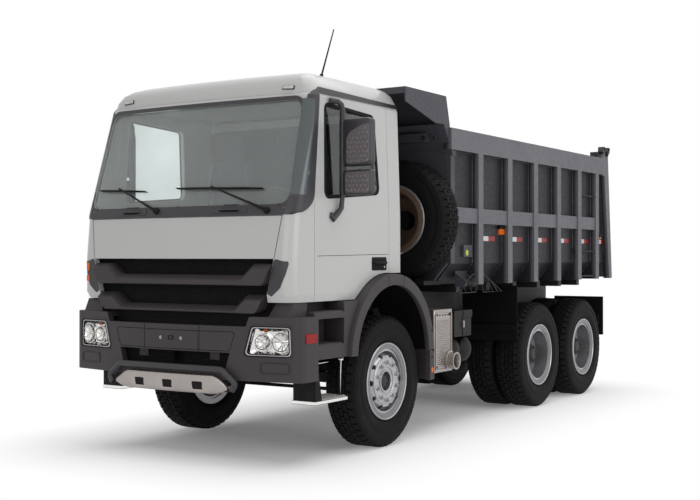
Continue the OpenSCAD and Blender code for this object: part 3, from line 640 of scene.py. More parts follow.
WHEEL_Z = 590.0
TYRE_R = 590.0
GROOVE_R = 573.0
PITCHES = 48
FRONT_Y = 1003.0
TWIN_Y = 883.0
TWIN_STEP = 175.0
AXLES = {"front": 0.0, "mid": -3300.0, "rear": -4650.0}
SIDES = {"left": 1, "right": -1}
NUTS = 10
NUT_RING_R = 167.5
# Outer face of a rim's flange from the wheel's middle
FLANGE_FACE = 138.0


def wheel_place(x, y, way):
    """Turns a wheel's own axis, Z, outwards at the side named by way."""
    return Matrix.Translation((x, y * way, WHEEL_Z)) @ Matrix.Rotation(math.radians(-90 * way), 4, "X")


def block(shape, place, angle, outline):
    """One tread block from (length, offset, outer radius, inner radius) corners."""
    rows = []
    for pick in (3, 2):
        ring = []
        for corner in outline:
            ring.append(polar(place, corner[pick], angle + corner[0] / TYRE_R, corner[1]))
        rows.append(ring)
    shape.skin(rows)


def tyre(shape, place):
    """A carcass with moulded sidewalls, and five rows of zigzag tread blocks."""
    wall = [(306, 120), (318, 126), (346, 125), (352, 129), (372, 143), (377, 147.5), (398, 154.5),
            (430, 159), (458, 159.6), (462, 157.6), (500, 156.5), (504, 158.6), (526, 154.5), (548, 149),
            (564, 138), (GROOVE_R, 118)]
    tread = [(GROOVE_R, 60), (GROOVE_R, 0), (GROOVE_R, -60)]
    shape.lathe(wall + tread + [(r, -h) for r, h in reversed(wall)], place, 96)
    step = 2 * math.pi / PITCHES
    length = step * TYRE_R
    low = GROOVE_R - 3
    # Low and high offset of a row, its gap, its zigzag and its shift round the tyre
    rows = [(-16, 16, 11, 7, 0.0), (25, 68, 11, -7, 0.5), (-68, -25, 11, -7, 0.5)]
    for near, far, gap, zig, shift in rows:
        half = (length - gap) / 2
        mid = (near + far) / 2
        outline = [(-half, near), (-half + zig, mid), (-half, far)]
        outline += [(half, far), (half + zig, mid), (half, near)]
        corners = [(s, h, TYRE_R, low) for s, h in outline]
        for i in range(PITCHES):
            block(shape, place, (i + shift) * step, corners)
    # Shoulder blocks run down the flank
    half = (length - 17) / 2
    for way in (1, -1):
        corners = [(-half - 4, 77 * way, TYRE_R, low), (-half + 5, 100 * way, TYRE_R, low),
                   (-half + 3, 119 * way, TYRE_R - 2, low), (-half + 6, 150.5 * way, 549, 542),
                   (half - 6, 150.5 * way, 549, 542), (half - 3, 119 * way, TYRE_R - 2, low),
                   (half + 5, 100 * way, TYRE_R, low), (half - 4, 77 * way, TYRE_R, low)]
        for i in range(PITCHES):
            block(shape, place, i * step, corners)


def hex_rings(place, x, y, size, low, high):
    """A nut's rings: a six-sided body and a chamfered top."""
    rows = []
    for r, h in ((size, low), (size, high - 5), (size * 0.86, high)):
        ring = []
        for k in range(6):
            a = math.pi / 3 * k
            ring.append(place @ Vector((x + r * math.cos(a), y + r * math.sin(a), h)))
        rows.append(ring)
    return rows


def nut_circle(shape, place, ring_r, count, size, low, high, stud):
    """Nuts with washers and stud ends on a circle."""
    for i in range(count):
        a = 2 * math.pi * (i + 0.5) / count
        x, y = ring_r * math.cos(a), ring_r * math.sin(a)
        here = place @ Matrix.Translation((x, y, 0))
        shape.disc([(size * 1.25, low), (size * 1.25, low + 4), (size * 1.1, low + 6)], here, 16)
        shape.skin(hex_rings(place, x, y, size, low + 5, high))
        end = high + stud
        shape.disc([(size * 0.5, high - 2), (size * 0.5, end - 2), (size * 0.38, end)], here, 10)


def from_face(face, profile):
    """A turned profile whose offsets are measured from a face."""
    return [(r, face + h) for r, h in profile]


def rim_lip(shape, place, face):
    """The rolled lip of a rim and the seat inside it, on the flange's outer face; the seat takes a darker
    copy of the rim's silver as painted shade.
    """
    lip = [(345, -10), (346, 3), (342, 9), (335, 9), (330, 4), (329, -2)]
    seat = [(330, 1.5), (308, 0.8), (292, 0.8), (288, -8), (286, -14), (330, -2)]
    shape.lathe(from_face(face, lip), place, 96)
    shape.look("shade")
    shape.lathe(from_face(face, seat), place, 96)
    shape.look("rim")


def front_wheel_trim(shape, place):
    """Raised bolt ring, nuts, collar, valve, rim lip and hub cap of a front wheel."""
    face = 128.0
    ring = [(122, -4), (124, 5), (130, 9), (204, 9), (212, 5), (214, -4)]
    shape.lathe(from_face(face, ring), place)
    nut_circle(shape, place, NUT_RING_R, NUTS, size=18, low=face + 8, high=face + 32, stud=10)
    collar = [(84, -38), (84, 2), (90, 7), (104, 7), (106, -4), (95, -6)]
    shape.lathe(from_face(face, collar), place)
    shape.tube([place @ Vector(p) for p in ((236, 20, 98), (240, 22, 130), (252, 24, 148))], 5)
    rim_lip(shape, place, FLANGE_FACE)
    shape.look("hub")
    shape.disc([(80, 88), (78, 106), (66, 114), (30, 118), (12, 118)], place)
    nut_circle(shape, place, 52, 6, size=8, low=112, high=122, stud=2)
    shape.look("rim")


def twin_wheel_trim(shape, place):
    """Nuts on the dished disc, valve, rim lip, and the axle's hub with its bolted cap."""
    face = 16.0
    nut_circle(shape, place, NUT_RING_R, NUTS, size=18, low=face, high=face + 26, stud=12)
    shape.tube([place @ Vector(p) for p in ((246, 20, 30), (252, 22, 120), (262, 24, 180))], 5)
    rim_lip(shape, place, TWIN_STEP + FLANGE_FACE)
    shape.look("hub")
    shape.disc([(132, face), (130, 112), (122, 126), (112, 134), (109, 206), (104, 218), (70, 222), (64, 236),
                (56, 242), (20, 244)], place, 48)
    nut_circle(shape, place, 87, 10, size=10, low=219, high=231, stud=3)
    shape.look("rim")


for axle, x in AXLES.items():
    for side_name, way in SIDES.items():
        body = f"wheels_{axle}_{side_name}"
        rubber = Shape("tyre")
        trim = Shape("rim hub shade")
        if axle == "front":
            tyre(rubber, wheel_place(x, FRONT_Y, way))
            front_wheel_trim(trim, wheel_place(x, FRONT_Y, way))
        else:
            for step in (-TWIN_STEP, TWIN_STEP):
                tyre(rubber, wheel_place(x, TWIN_Y + step, way))
            twin_wheel_trim(trim, wheel_place(x, TWIN_Y, way))
        wheel = f"{axle}_{side_name}"
        rubber.piece(f"tread_{wheel}", body, stands_for=[f"tyre_{wheel}"])
        trim.piece(f"wheel_trim_{wheel}", body)

SPARE = Matrix.Translation((-935, 740, 2062)) @ Matrix.Rotation(math.radians(90), 4, "Y")
spare = Shape("tyre")
tyre(spare, SPARE)
spare.piece("tread_spare", "chassis", stands_for=["spare_tyre"])
spare = Shape("rim")
spare.lathe([(338, 139), (345, 136), (345, 126), (330, 122), (316, 126), (316, 134), (330, 140)], SPARE, 96)
spare.piece("spare_flange", "chassis")


# Surfaces that pieces are laid on; each gives a point and the way out of the surface

# Height, rear X, front X and half width of the cab's outline
CAB_LEVELS = [(1340, -270, 1500, 1142), (1400, -270, 1530, 1150), (1700, -270, 1530, 1150),
              (2060, -270, 1495, 1150), (3030, -270, 1215, 1118), (3110, -262, 1150, 1090),
              (3180, -200, 1010, 1010), (3225, -50, 700, 850)]
CAB_BOW = 42.0
CAB_CORNER = 110.0
BUMPER_FRONT = 1600.0
BUMPER_BOW = 11200.0
BUMPER_HALF = 1240.0
BUMPER_CORNER = 90.0
SHEET_Y = 1175.0


def cab_level(z):
    """The rear X, front X and half width of the cab at a height."""
    for low, high in zip(CAB_LEVELS, CAB_LEVELS[1:]):
        if z <= high[0]:
            break
    t = min(max((z - low[0]) / (high[0] - low[0]), 0.0), 1.0)
    return [low[i] + (high[i] - low[i]) * t for i in (1, 2, 3)]


def cab_x(y, z):
    """X of the cab's front face."""
    ahead, half = cab_level(z)[1:]
    straight = half - CAB_CORNER
    if abs(y) <= straight:
        return ahead - CAB_BOW * (y / straight) ** 2
    over = min(abs(y) - straight, CAB_CORNER * 0.999)
    return ahead - CAB_BOW - CAB_CORNER + math.sqrt(CAB_CORNER ** 2 - over ** 2)


def on_front(y, z):
    """The cab's front face, measured by Y and Z."""
    lean_y = cab_x(y - 1, z) / 2 - cab_x(y + 1, z) / 2
    lean_z = cab_x(y, z - 1) / 2 - cab_x(y, z + 1) / 2
    return (cab_x(y, z), y, z), (1.0, lean_y, lean_z)


def on_left(x, z):
    """The cab's left face, measured by X and Z."""
    return (x, cab_level(z)[2], z), (0.0, 1.0, (cab_level(z - 1)[2] - cab_level(z + 1)[2]) / 2)


def bumper_x(y):
    """X of the bumper's face."""
    straight = BUMPER_HALF - BUMPER_CORNER
    if abs(y) <= straight:
        return BUMPER_FRONT - y * y / BUMPER_BOW
    over = min(abs(y) - straight, BUMPER_CORNER * 0.999)
    hub_x = BUMPER_FRONT - straight ** 2 / BUMPER_BOW - BUMPER_CORNER
    return hub_x + math.sqrt(BUMPER_CORNER ** 2 - over ** 2)


def on_bumper(y, z):
    """The bumper's face, measured by Y and Z."""
    return (bumper_x(y), y, z), (1.0, (bumper_x(y - 1) - bumper_x(y + 1)) / 2, 0.0)


def flat_left(y):
    """A plane that faces left, measured by X and Z."""
    return lambda x, z: ((x, y, z), LEFT)


def flat_ahead(x):
    """A plane that faces forward, measured by Y and Z."""
    return lambda y, z: ((x, y, z), AHEAD)


def flat_up(z):
    """A plane that faces up, measured by X and Y."""
    return lambda x, y: ((x, y, z), UP)


def along(outline, surface, closed=True, step=60.0):
    """An outline laid on a surface, with points close enough to follow its curve."""
    corners = list(outline) + ([outline[0]] if closed else [])
    path = []
    for a, b in zip(corners, corners[1:]):
        count = max(1, math.ceil((Vector(b) - Vector(a)).length / step))
        for k in range(count):
            path.append(surface(*Vector(a).lerp(Vector(b), k / count)))
    path.append(surface(*corners[-1]))
    return path


def facing(spot, out):
    """A place whose Z axis points out of a surface."""
    return Matrix.Translation(spot) @ Vector(out).to_track_quat("Z", "Y").to_matrix().to_4x4()


def bolt(shape, surface_point, size=9.0, height=6.0):
    """A round-headed bolt with a washer on a surface point."""
    washer = [(size * 1.5, -1), (size * 1.5, 2), (size, 2.5)]
    head = [(size * 0.95, height * 0.7), (size * 0.5, height)]
    shape.disc(washer + head, facing(*surface_point), 12)


# Front of the cab

# Seams beside the windscreen and across under it
seams = Shape("gap")
for way in (1, -1):
    seams.seam([(1048 * way, 2120), (1042 * way, 2038), (988 * way, 1692)], on_front, 6, 0.6)
seams.seam([(-1044, 2036), (1044, 2036)], on_front, 5, 0.6)
seams.piece("front_seams", "chassis")

# Grips and vents of the dark strip under the windscreen
cowl = Shape("trim black")
COWL = 10.0


def on_cowl(y, z):
    """The front of the dark strip under the windscreen."""
    return tuple(lifted(on_front(y, z), COWL)), on_front(y, z)[1]


for middle in (-548, 530):
    cowl.look("trim")
    cowl.pad(plate((middle - 178, 2060), (middle + 178, 2112), 25), on_cowl, 4)
    cowl.look("black")
    cowl.pad(plate((middle - 92, 2067), (middle + 98, 2103), 17), on_cowl, 4.8)
    cowl.look("trim")
    ends = [on_cowl(middle + d, 2086) for d in (-104, -92, 96, 108)]
    reach = [2, 17, 17, 2]
    cowl.tube([lifted(end, r) for end, r in zip(ends, reach)], 9, 10)
    cowl.look("black")
    cowl.seam([(middle - 66, 2127), (middle + 82, 2127)], on_cowl, 7, 0.8)
cowl.look("trim")
for y in (-1000, -18, 1000):
    bolt(cowl, on_cowl(y, 2122), 7, 5)
cowl.piece("cowl_fittings", "chassis")

# Wipers: pivot, elbow, and the two ends of the blade, as Y and Z on the windscreen
WIPERS = [((-253, 2091), (-742, 2297), (-1009, 2292), (-424, 2266)),
          ((897, 2076), (318, 2281), (-73, 2281), (824, 2257))]
wipers = Shape("black")


def off_screen(y, z, reach):
    """A point a distance in front of the windscreen."""
    return lifted(on_front(y, z), reach)


for pivot, elbow, near, far in WIPERS:
    wipers.disc([(30, 8), (30, 20), (24, 28), (16, 44), (10, 48)], facing(*on_front(*pivot)), 20)
    bend = [pivot, (pivot[0] * 0.7 + elbow[0] * 0.3, pivot[1] * 0.7 + elbow[1] * 0.3), elbow]
    wipers.tube([off_screen(*bend[0], 38), off_screen(*bend[1], 44), off_screen(*elbow, 34)], [13, 9, 6], 8)
    wipers.tube([off_screen(*elbow, 34), off_screen(elbow[0], elbow[1] - 6, 22)], 7, 8)
    blade = []
    for t in (0, 0.2, 0.5, 0.8, 1):
        blade.append((near[0] + (far[0] - near[0]) * t, near[1] + (far[1] - near[1]) * t))
    wipers.tube([off_screen(*spot, 20) for spot in blade], [4, 7, 8, 7, 4], 6)
    wipers.strip([(off_screen(*spot, -10), on_front(*spot)[1]) for spot in blade], 5, 26, 0)
wipers.piece("wipers", "chassis")

# Crown of the roof: height, rear X, front X and half width
CROWN = [(3052, -268, 1199, 1113), (3108, -264, 1187, 1097), (3170, -256, 1150, 1064),
         (3215, -236, 1086, 1012), (3250, -190, 980, 930), (3275, -100, 820, 800), (3290, 60, 560, 560)]


def crown_ring(z, rear, ahead, half):
    """The roof's outline at a height: bowed front, round front corners and small rear corners."""
    straight = half - CAB_CORNER
    ring = [(ahead - CAB_BOW * (k / 8) ** 2, straight * k / 8, z) for k in range(-8, 9)]
    hub_x = ahead - CAB_BOW - CAB_CORNER
    flank = []
    for k in range(1, 7):
        a = math.radians(15 * k)
        flank.append((hub_x + CAB_CORNER * math.cos(a), straight + CAB_CORNER * math.sin(a), z))
    flank += [(rear + 60, half, z), (rear + 18, half - 18, z), (rear, half - 60, z)]
    return ring + flank + [(x, -y, z) for x, y, z in reversed(flank)]


crown = Shape("paint")
crown.skin([crown_ring(*level) for level in CROWN])
crown.piece("roof_crown", "chassis", angle=50)


def on_crown(y, z):
    """The front of the crown."""
    low, high = CROWN[0], CROWN[1]
    if z > high[0]:
        low, high = CROWN[1], CROWN[2]
    ahead = low[2] + (high[2] - low[2]) * (z - low[0]) / (high[0] - low[0])
    straight = low[3] - CAB_CORNER
    out = (1.0, CAB_BOW * 2 * y / straight ** 2, (low[2] - high[2]) / (high[0] - low[0]))
    return (ahead - CAB_BOW * (y / straight) ** 2, y, z), out


# Round the cab's left front corner: dark trim up to the door, and an opaque strip beside the windscreen with
# the glass's reflection and the dark cab behind it painted on
def on_wrap(s, z):
    """A point of the cab's skin, measured round the corner from where its arc starts."""
    ahead, half = cab_level(z)[1:]
    hub_x = ahead - CAB_BOW - CAB_CORNER
    hub_y = half - CAB_CORNER
    if s <= 0:
        return on_front(hub_y + s, z)
    a = min(s / CAB_CORNER, math.pi / 2)
    beyond_arc = s - a * CAB_CORNER
    spot = (hub_x + CAB_CORNER * math.cos(a) - beyond_arc, hub_y + CAB_CORNER * math.sin(a), z)
    return spot, (math.cos(a), math.sin(a), 0.1)


# The windscreen's lower edge, its height and how much each side draws in on the way up
SCREEN_LOW = 2128
SCREEN_HALF = 1088
SCREEN_RISE = 864
SCREEN_TAPER = 36
# The door's front edge: upright below the belt line, leaning back above it
DOOR_FRONT = 1163
BELT_Z = 2200
DOOR_RISE = 846
DOOR_TAPER = 117


def screen_edge(z, grow):
    """The windscreen's edge as a measure round the corner."""
    y = SCREEN_HALF - (z - SCREEN_LOW) / SCREEN_RISE * SCREEN_TAPER + grow
    over = y - (cab_level(z)[2] - CAB_CORNER)
    return CAB_CORNER * math.asin(min(over / CAB_CORNER, 0.99))


def door_edge(z):
    """The door's front edge as a measure round the corner."""
    x = DOOR_FRONT - max(z - BELT_Z, 0) / DOOR_RISE * DOOR_TAPER
    return cab_level(z)[1] - CAB_BOW - CAB_CORNER - x + CAB_CORNER * math.pi / 2


PILLAR_Z = [BELT_Z + 42 * k for k in range(21)]
TOE = 40
TOE_DROP = 159
pillars = Shape("trim frit")
inner = [(6, 2040), (10, 2080), (30, 2118)] + [(screen_edge(z, 24), z) for z in PILLAR_Z]
outer = [(door_edge(z), z) for z in reversed(PILLAR_Z)]
for k in range(1, 9):
    t = k / 8
    reach = TOE + (door_edge(BELT_Z) - TOE) * math.sqrt(1 - t * t * 0.98)
    outer.append((reach, BELT_Z - TOE_DROP * t))
pillars.fill(inner + outer, on_wrap, 9.8, 1.0, 40, 16)
# The strip beside the windscreen: painted reflection and painted shade in the glass's tone
pillars.look("frit")
BORDER_Z = PILLAR_Z[:-1]
inner = [(screen_edge(z, -3), z) for z in BORDER_Z]
outer = [(screen_edge(z, 24) + 0.58 * (door_edge(z) - screen_edge(z, 24)), z) for z in reversed(BORDER_Z)]
pillars.fill(inner + outer, on_wrap, 10.8, 2.0, 30, 12)
pillars.mirror()
pillars.piece("pillar_trims", "chassis")

# Roof markers
markers = Shape("trim white")
for way in (1, -1):
    outline = rounded([(826 * way, 3088), (946 * way, 3080), (950 * way, 3112), (830 * way, 3122)], 8)
    markers.look("trim")
    markers.pad(outline, on_crown, 9, edge=5)
    markers.look("white")
    markers.pad(drawn_in(outline, (888 * way, 3101), 0.12, 0.3), on_crown, 14, edge=6)
markers.piece("roof_markers", "chassis")

# Grille: slats with a sloping upper face, a wire mesh behind them with a dark sheet of painted shade behind
# it, and the corner pieces
GRILLE_HALF = 985.0
MESH_X = 1400.0
MESH_LOW = 1250
MESH_HIGH = 1684
MESH_RISE = MESH_HIGH - MESH_LOW
MESH_HALF = 878
MESH_SPREAD = 96
WIRE_STEP = 21
SLAT_X = MESH_X + 24
SLAT_FRONT = 1540.0
SLAT_DROP = 92
grille = Shape("plastic gap black trim paint")
for top, low, half in ((1650, 1475, GRILLE_HALF - 13), (1400, 1250, GRILLE_HALF - 80)):
    rows = []
    # Depth, how far the upper edge has come down, and how far the lower edge has come up
    for x, fall, lift in ((SLAT_X, 0, 0), (SLAT_FRONT - 62, 0, 0), (SLAT_FRONT - 6, 38, 0),
                          (SLAT_FRONT, 42, 6), (SLAT_FRONT, 44, 10)):
        slope = fall * 0.45
        narrow = fall * 0.12
        right = [(half - narrow, top - fall), (half - 45 - narrow, low + 30 + lift), (half - 90, low + lift)]
        left = [(-u, v) for u, v in reversed(right)]
        upper = [(-half + 190 - slope, top - fall), (-half + 300 - slope, top - SLAT_DROP - fall),
                 (half - 300 + slope, top - SLAT_DROP - fall), (half - 190 + slope, top - fall)]
        rows.append([front(u, v, x) for u, v in upper + right + left])
    grille.skin(rows)
# A dark sheet behind the wire mesh: painted shade for the depth behind it
grille.look("gap")
MESH_TOP = MESH_HALF + MESH_SPREAD
MESH = [(-MESH_HALF, MESH_LOW), (MESH_HALF, MESH_LOW), (MESH_TOP, MESH_HIGH), (-MESH_TOP, MESH_HIGH)]
grille.prism(MESH, front, MESH_X, MESH_X + 10)
grille.look("plastic")
for way in (1, -1):
    low_y, high_y = sorted((300 * way, 420 * way))
    grille.box((1390, low_y, 1000), (MESH_X, high_y, 1300))
grille.look("black")
for i in range(-44, 45):
    y = i * WIRE_STEP
    low = MESH_LOW + 4
    beyond = abs(y) - (MESH_HALF - 2)
    if beyond > 0:
        low = MESH_LOW + beyond / MESH_SPREAD * MESH_RISE
    grille.tube([(MESH_X + 13, y, low), (MESH_X + 13, y, MESH_HIGH - 2)], 3.4, 6)
for z in range(MESH_LOW + 24, MESH_HIGH, 2 * WIRE_STEP):
    half = MESH_HALF - 4 + (z - MESH_LOW) / MESH_RISE * (MESH_SPREAD - 2)
    grille.tube([(MESH_X + 16, -half, z), (MESH_X + 16, half, z)], 2.6, 6)


def turned(spot_out, way):
    """A point and its normal, on the other side of the truck where way is negative."""
    (x, y, z), (a, b, c) = spot_out
    return (x, y * way, z), (a, b * way, c)


CORNER = rounded([(923, 1401), (988, 1689), (1117, 1671), (1091, 1566), (1045, 1457), (966, 1389)], 22)
PANEL = [(-117, 1397), (-52, 1691), (176, 1691), (176, 1397)]
for way in (1, -1):
    grille.look("paint")
    grille.fill(PANEL, lambda s, z: turned(on_wrap(s, z), way), -0.5, -30, 20, 14)
    grille.look("trim")
    grille.fill([(y * way, z) for y, z in CORNER], on_front, 2.5, -25, 16, 10)
    # Fins at the outer edge, each over a dark slit
    for near, far, z in ((1040, 1092, 1571), (1000, 1048, 1463)):
        grille.look("trim")
        grille.seam([(near * way, z + 4), (far * way, z)], on_front, 14, 4, step=20, sink=8)
        grille.look("gap")
        grille.seam([(near * way, z - 8), (far * way, z - 12)], on_front, 8, -3, step=20, sink=9)
grille.piece("grille_full", "chassis", stands_for=["grille"])

# Two orange lamps on the right front corner
side_lamp = Shape("orange")
for low, high in ((1490, 1546), (1584, 1652)):
    outline = rounded([(-1048, low), (-1090, low), (-1090, high), (-1048, high)], 8)
    side_lamp.pad(outline, on_front, 8, sink=2)
side_lamp.piece("corner_lamp", "chassis")

# Bumper
panel = Shape("plastic gap bright")
panel.look("gap")
OUTER = rounded([(-650, 1100), (650, 1100), (598, 944), (-598, 944)], 26)
panel.band(OUTER, on_bumper, 6, 1.0)
for y in (-300, 300):
    panel.seam([(y, 1142), (y, 934)], on_bumper, 5, 1.0)
panel.look("plastic")
panel.pad(plate((-288, 946), (288, 1092), 10), on_bumper, 5, edge=4)
for way in (1, -1):
    pocket = plate((884 * way, 778), (1132 * way, 862), 30, 6)
    panel.look("plastic")
    panel.band(pocket, on_bumper, 12, 5, step=30)
    panel.look("gap")
    panel.band(pocket, on_bumper, 3, 5.4, step=30)
    panel.look("plastic")
    rim = [(716 * way, 900), (1160 * way, 900), (1154 * way, 1160), (790 * way, 1160)]
    panel.band(rounded(rim, 44, 6), on_bumper, 12, 4, step=40)
panel.look("bright")
for y in (-111, 111):
    bolt(panel, on_bumper(y, 1032), 10, 12)
panel.look("gap")
panel.band(plate((-24, 1018), (24, 1050), 4), on_bumper, 4, 6)
panel.piece("bumper_panel", "chassis")

# Red reflectors on the bumper's ends
reflector = Shape("red")
outline = plate((1262, 1018), (1412, 1094), 8)
reflector.pad(outline, flat_left(BUMPER_HALF), 9)
reflector.mirror()
reflector.piece("bumper_reflectors", "chassis")

# Headlamps and tail lamps
lamps = Shape("rim chrome orange clear black red white")
LAMP = rounded([(732, 915), (1150, 915), (1142, 1146), (800, 1146)], 34, 6)
LAMP_MIDDLE = (960.0, 1030.0)
LAMP_AIM = (1.0, 0.12, 0.0)


def lamp_ring(shrink, depth):
    """The headlamp's outline drawn in by a share, at a depth behind the bumper's face."""
    return [(bumper_x(y) - depth, y, z) for y, z in drawn_in(LAMP, LAMP_MIDDLE, shrink, shrink)]


# Housing and bezel, then the mirrored bowl behind the glass
lamps.skin([lamp_ring(0, 70), lamp_ring(0, 8), lamp_ring(0.02, 3), lamp_ring(0.07, 3), lamp_ring(0.09, 12),
            lamp_ring(0.1, 56)])
lamps.look("chrome")
lamps.skin([lamp_ring(0.1, 20), lamp_ring(0.12, 40), lamp_ring(0.3, 52)], caps=False)
lamps.skin([lamp_ring(0.1, 58), lamp_ring(0.1, 54)])
for y, z, r in ((1050, 1028, 84), (884, 1024, 72)):
    place = facing((bumper_x(y) - 54, y, z), LAMP_AIM)
    rim = [(r, 34), (r + 5, 34), (r + 5, 0)]
    bowl = [(20, -2), (20, 2), (r * 0.45, 5), (r * 0.75, 14), (r * 0.92, 24)]
    lamps.lathe(rim + bowl, place, 40)
    lamps.disc([(14, 0), (14, 22), (9, 30), (4, 33)], place, 16)
    for k in range(12):
        a = math.pi / 6 * k
        ray = [(0.28, 5.5), (0.6, 10), (0.9, 24)]
        lamps.tube([polar(place, r * f, a, h) for f, h in ray], 2.4, 5)
lamps.look("orange")
lamps.disc([(15, 0), (15, 14), (10, 24), (3, 28)], facing((bumper_x(900) - 48, 905, 1118), LAMP_AIM), 16)
lamps.look("clear")
lamps.skin([lamp_ring(0.085, 11), lamp_ring(0.085, 8), lamp_ring(0.2, 4), lamp_ring(0.2, 7)], caps=False)
lamps.faces(lamp_ring(0.2, 4), [tuple(range(len(LAMP)))])
# Rubber seal inside the bezel, and the dark gap round it
lamps.look("black")
seal = [lamp_ring(0.075, 10), lamp_ring(0.08, 2.5), lamp_ring(0.12, 2.5), lamp_ring(0.125, 10)]
lamps.skin(seal, wrap=True)
lamps.band([(y, z) for x, y, z in lamp_ring(-0.025, 0)], on_bumper, 9, 0.8)
# Tail lamps: a dark box with an orange, a red and a white cell
TAIL_BACK = -5340.0
TAIL_FACE = TAIL_BACK + 14
TAIL_FRONT = -5292.3
TAIL_Y = (900, 1200)
TAIL_Z = (1010, 1180)
lamps.box((TAIL_FACE, TAIL_Y[0], TAIL_Z[0]), (TAIL_FRONT, TAIL_Y[1], TAIL_Z[1]))
width = (TAIL_Y[1] - TAIL_Y[0]) / 3
middle_z = sum(TAIL_Z) / 2
for i, look in enumerate(("orange", "red", "white")):
    lamps.look(look)
    y = TAIL_Y[0] + width * i
    cell = plate((y + 6, TAIL_Z[0] + 12), (y + width - 6, TAIL_Z[1] - 12), 14)
    inner = drawn_in(cell, (y + width / 2, middle_z), 0.12, 0.12)
    levels = ((cell, TAIL_FACE + 4), (cell, TAIL_FACE - 8), (inner, TAIL_BACK))
    lamps.skin([[(x, u, v) for u, v in outline] for outline, x in levels])
lamps.mirror()
lamps.piece("lamps_full", "chassis", stands_for=["lamps"])

# Skid plate inside its hoop, both bent to the bumper's curve
skid = Shape("bright gap trim chassis")
PLATE_REACH = 26.0
HOOP_REACH = 42.0
PLATE_TOP = 748.0
PLATE_LOW = 594.0
PLATE_HALF = 606.0
# Half of the stretch whose edges run straight, and the step from slot to slot
PLATE_STRAIGHT = 450.0
SLOT_STEP = 315.0
COLUMNS = 60


def ahead_of_bumper(reach):
    """A surface a distance ahead of the bumper's face."""
    return lambda y, z: ((bumper_x(y) + reach, y, z), on_bumper(y, z)[1])


rows = []
for i in range(COLUMNS + 1):
    y = PLATE_HALF * (2 * i / COLUMNS - 1)
    end = max(0.0, abs(y) - PLATE_STRAIGHT) / (PLATE_HALF - PLATE_STRAIGHT)
    top = PLATE_TOP - 88 * end ** 1.7
    low = PLATE_LOW + 40 * end ** 2.2
    # Soft ridges between the slots
    swell = 6.0 * math.cos(math.pi * y / (SLOT_STEP / 2))
    ring = []
    for t, lift in ((0.0, -2), (0.0, 8), (0.06, 17), (0.2, 22), (0.4, 24 - swell), (0.7, 24 - swell),
                    (0.9, 18), (0.97, 10), (1.0, -2)):
        ring.append(lifted(ahead_of_bumper(PLATE_REACH)(y, top + (low - top) * t), lift))
    rows.append(ring)
skid.skin(rows)
# Slots as dark pads: painted shade in them
skid.look("gap")
for y in (-SLOT_STEP, 0, SLOT_STEP):
    slot_outline = rounded([(y - 58, 692), (y + 54, 692), (y + 62, 626), (y - 46, 626)], 10)
    skid.pad(slot_outline, ahead_of_bumper(PLATE_REACH + 14), 7)
skid.look("trim")
HOOP = rounded([(-650, 632), (-690, 690), (-558, 797), (-280, 800), (0, 800), (280, 800), (558, 797),
                (690, 690), (650, 632)], [0, 46, 70, 0, 0, 0, 70, 46, 0])
skid.tube([ahead_of_bumper(HOOP_REACH)(y, z)[0] for y, z in HOOP], 26, 14)
skid.look("chassis")
for way in (1, -1):
    near, far = sorted((340 * way, 440 * way))
    skid.box((1300, near, 630), (1606, far, 700))
    skid.box((1300, near, 700), (1360, far, 780))
    near, far = sorted((540 * way, 660 * way))
    skid.box((1584, near, 620), (1608, far, 650))
skid.piece("skid_plate", "chassis", angle=50, stands_for=["skid_bar"])

# Dark panels behind the openings of the bumper, painted shade for the depth of the openings, with wire meshes
# in front
intake = Shape("gap black")
for way in (1, -1):
    outline = rectangle((62 * way, 792), (656 * way, 938))
    intake.look("gap")
    intake.prism(outline, front, 1478, 1484)
    intake.look("black")
    for k in range(25):
        y = way * (72 + k * 22)
        intake.tube([(1488, y, 796), (1488, y, 936)], 3, 6)
    for z in range(808, 936, 24):
        intake.tube([(1490, 64 * way, z), (1490, 602 * way, z)], 2.4, 6)
# A dark sheet in the opening above the bumper: painted shade
intake.look("gap")
intake.prism([(-840, 1090), (840, 1090), (872, 1252), (-872, 1252)], front, 1404, 1410)
intake.piece("intake_panels", "chassis")

# Doors; the left one is drawn and the right one is its mirror image
DOOR_WINDOW = rounded([(150, 2270), (992, 2200), (958, 2972), (206, 2935)], 60, 8)
WINDOW_MIDDLE = (575, 2590)
# Mirror housings as low and high Z and corner radius, and the plates on them
HOUSINGS = [(2458, 2855, 44), (2218, 2426, 34)]
PLATES = [[(1250, 2690), (1284, 2742), (1400, 2794), (1474, 2806), (1474, 2496), (1380, 2476),
           (1250, 2474)],
          [(1238, 2236), (1474, 2232), (1474, 2410), (1238, 2410)]]
BAR_STEP = 38
BAR_FRONT = 844


def raised_bar(shape, y, z, tilt):
    """A short ridge on a mirror's plate, leaning by an angle."""
    far = Vector((0, math.cos(tilt), math.sin(tilt))) * 19
    wide = Vector((0, -math.sin(tilt), math.cos(tilt))) * 6
    at = Vector((BAR_FRONT, y, z))
    top = Vector((8, 0, 0))
    base = [at - far, at - wide, at + far, at + wide]
    ridge = [at + top - far * 0.6, at + top + far * 0.6]
    shape.faces(base + ridge, [(0, 1, 4), (1, 5, 4), (1, 2, 5), (2, 3, 5), (3, 4, 5), (3, 0, 4)])


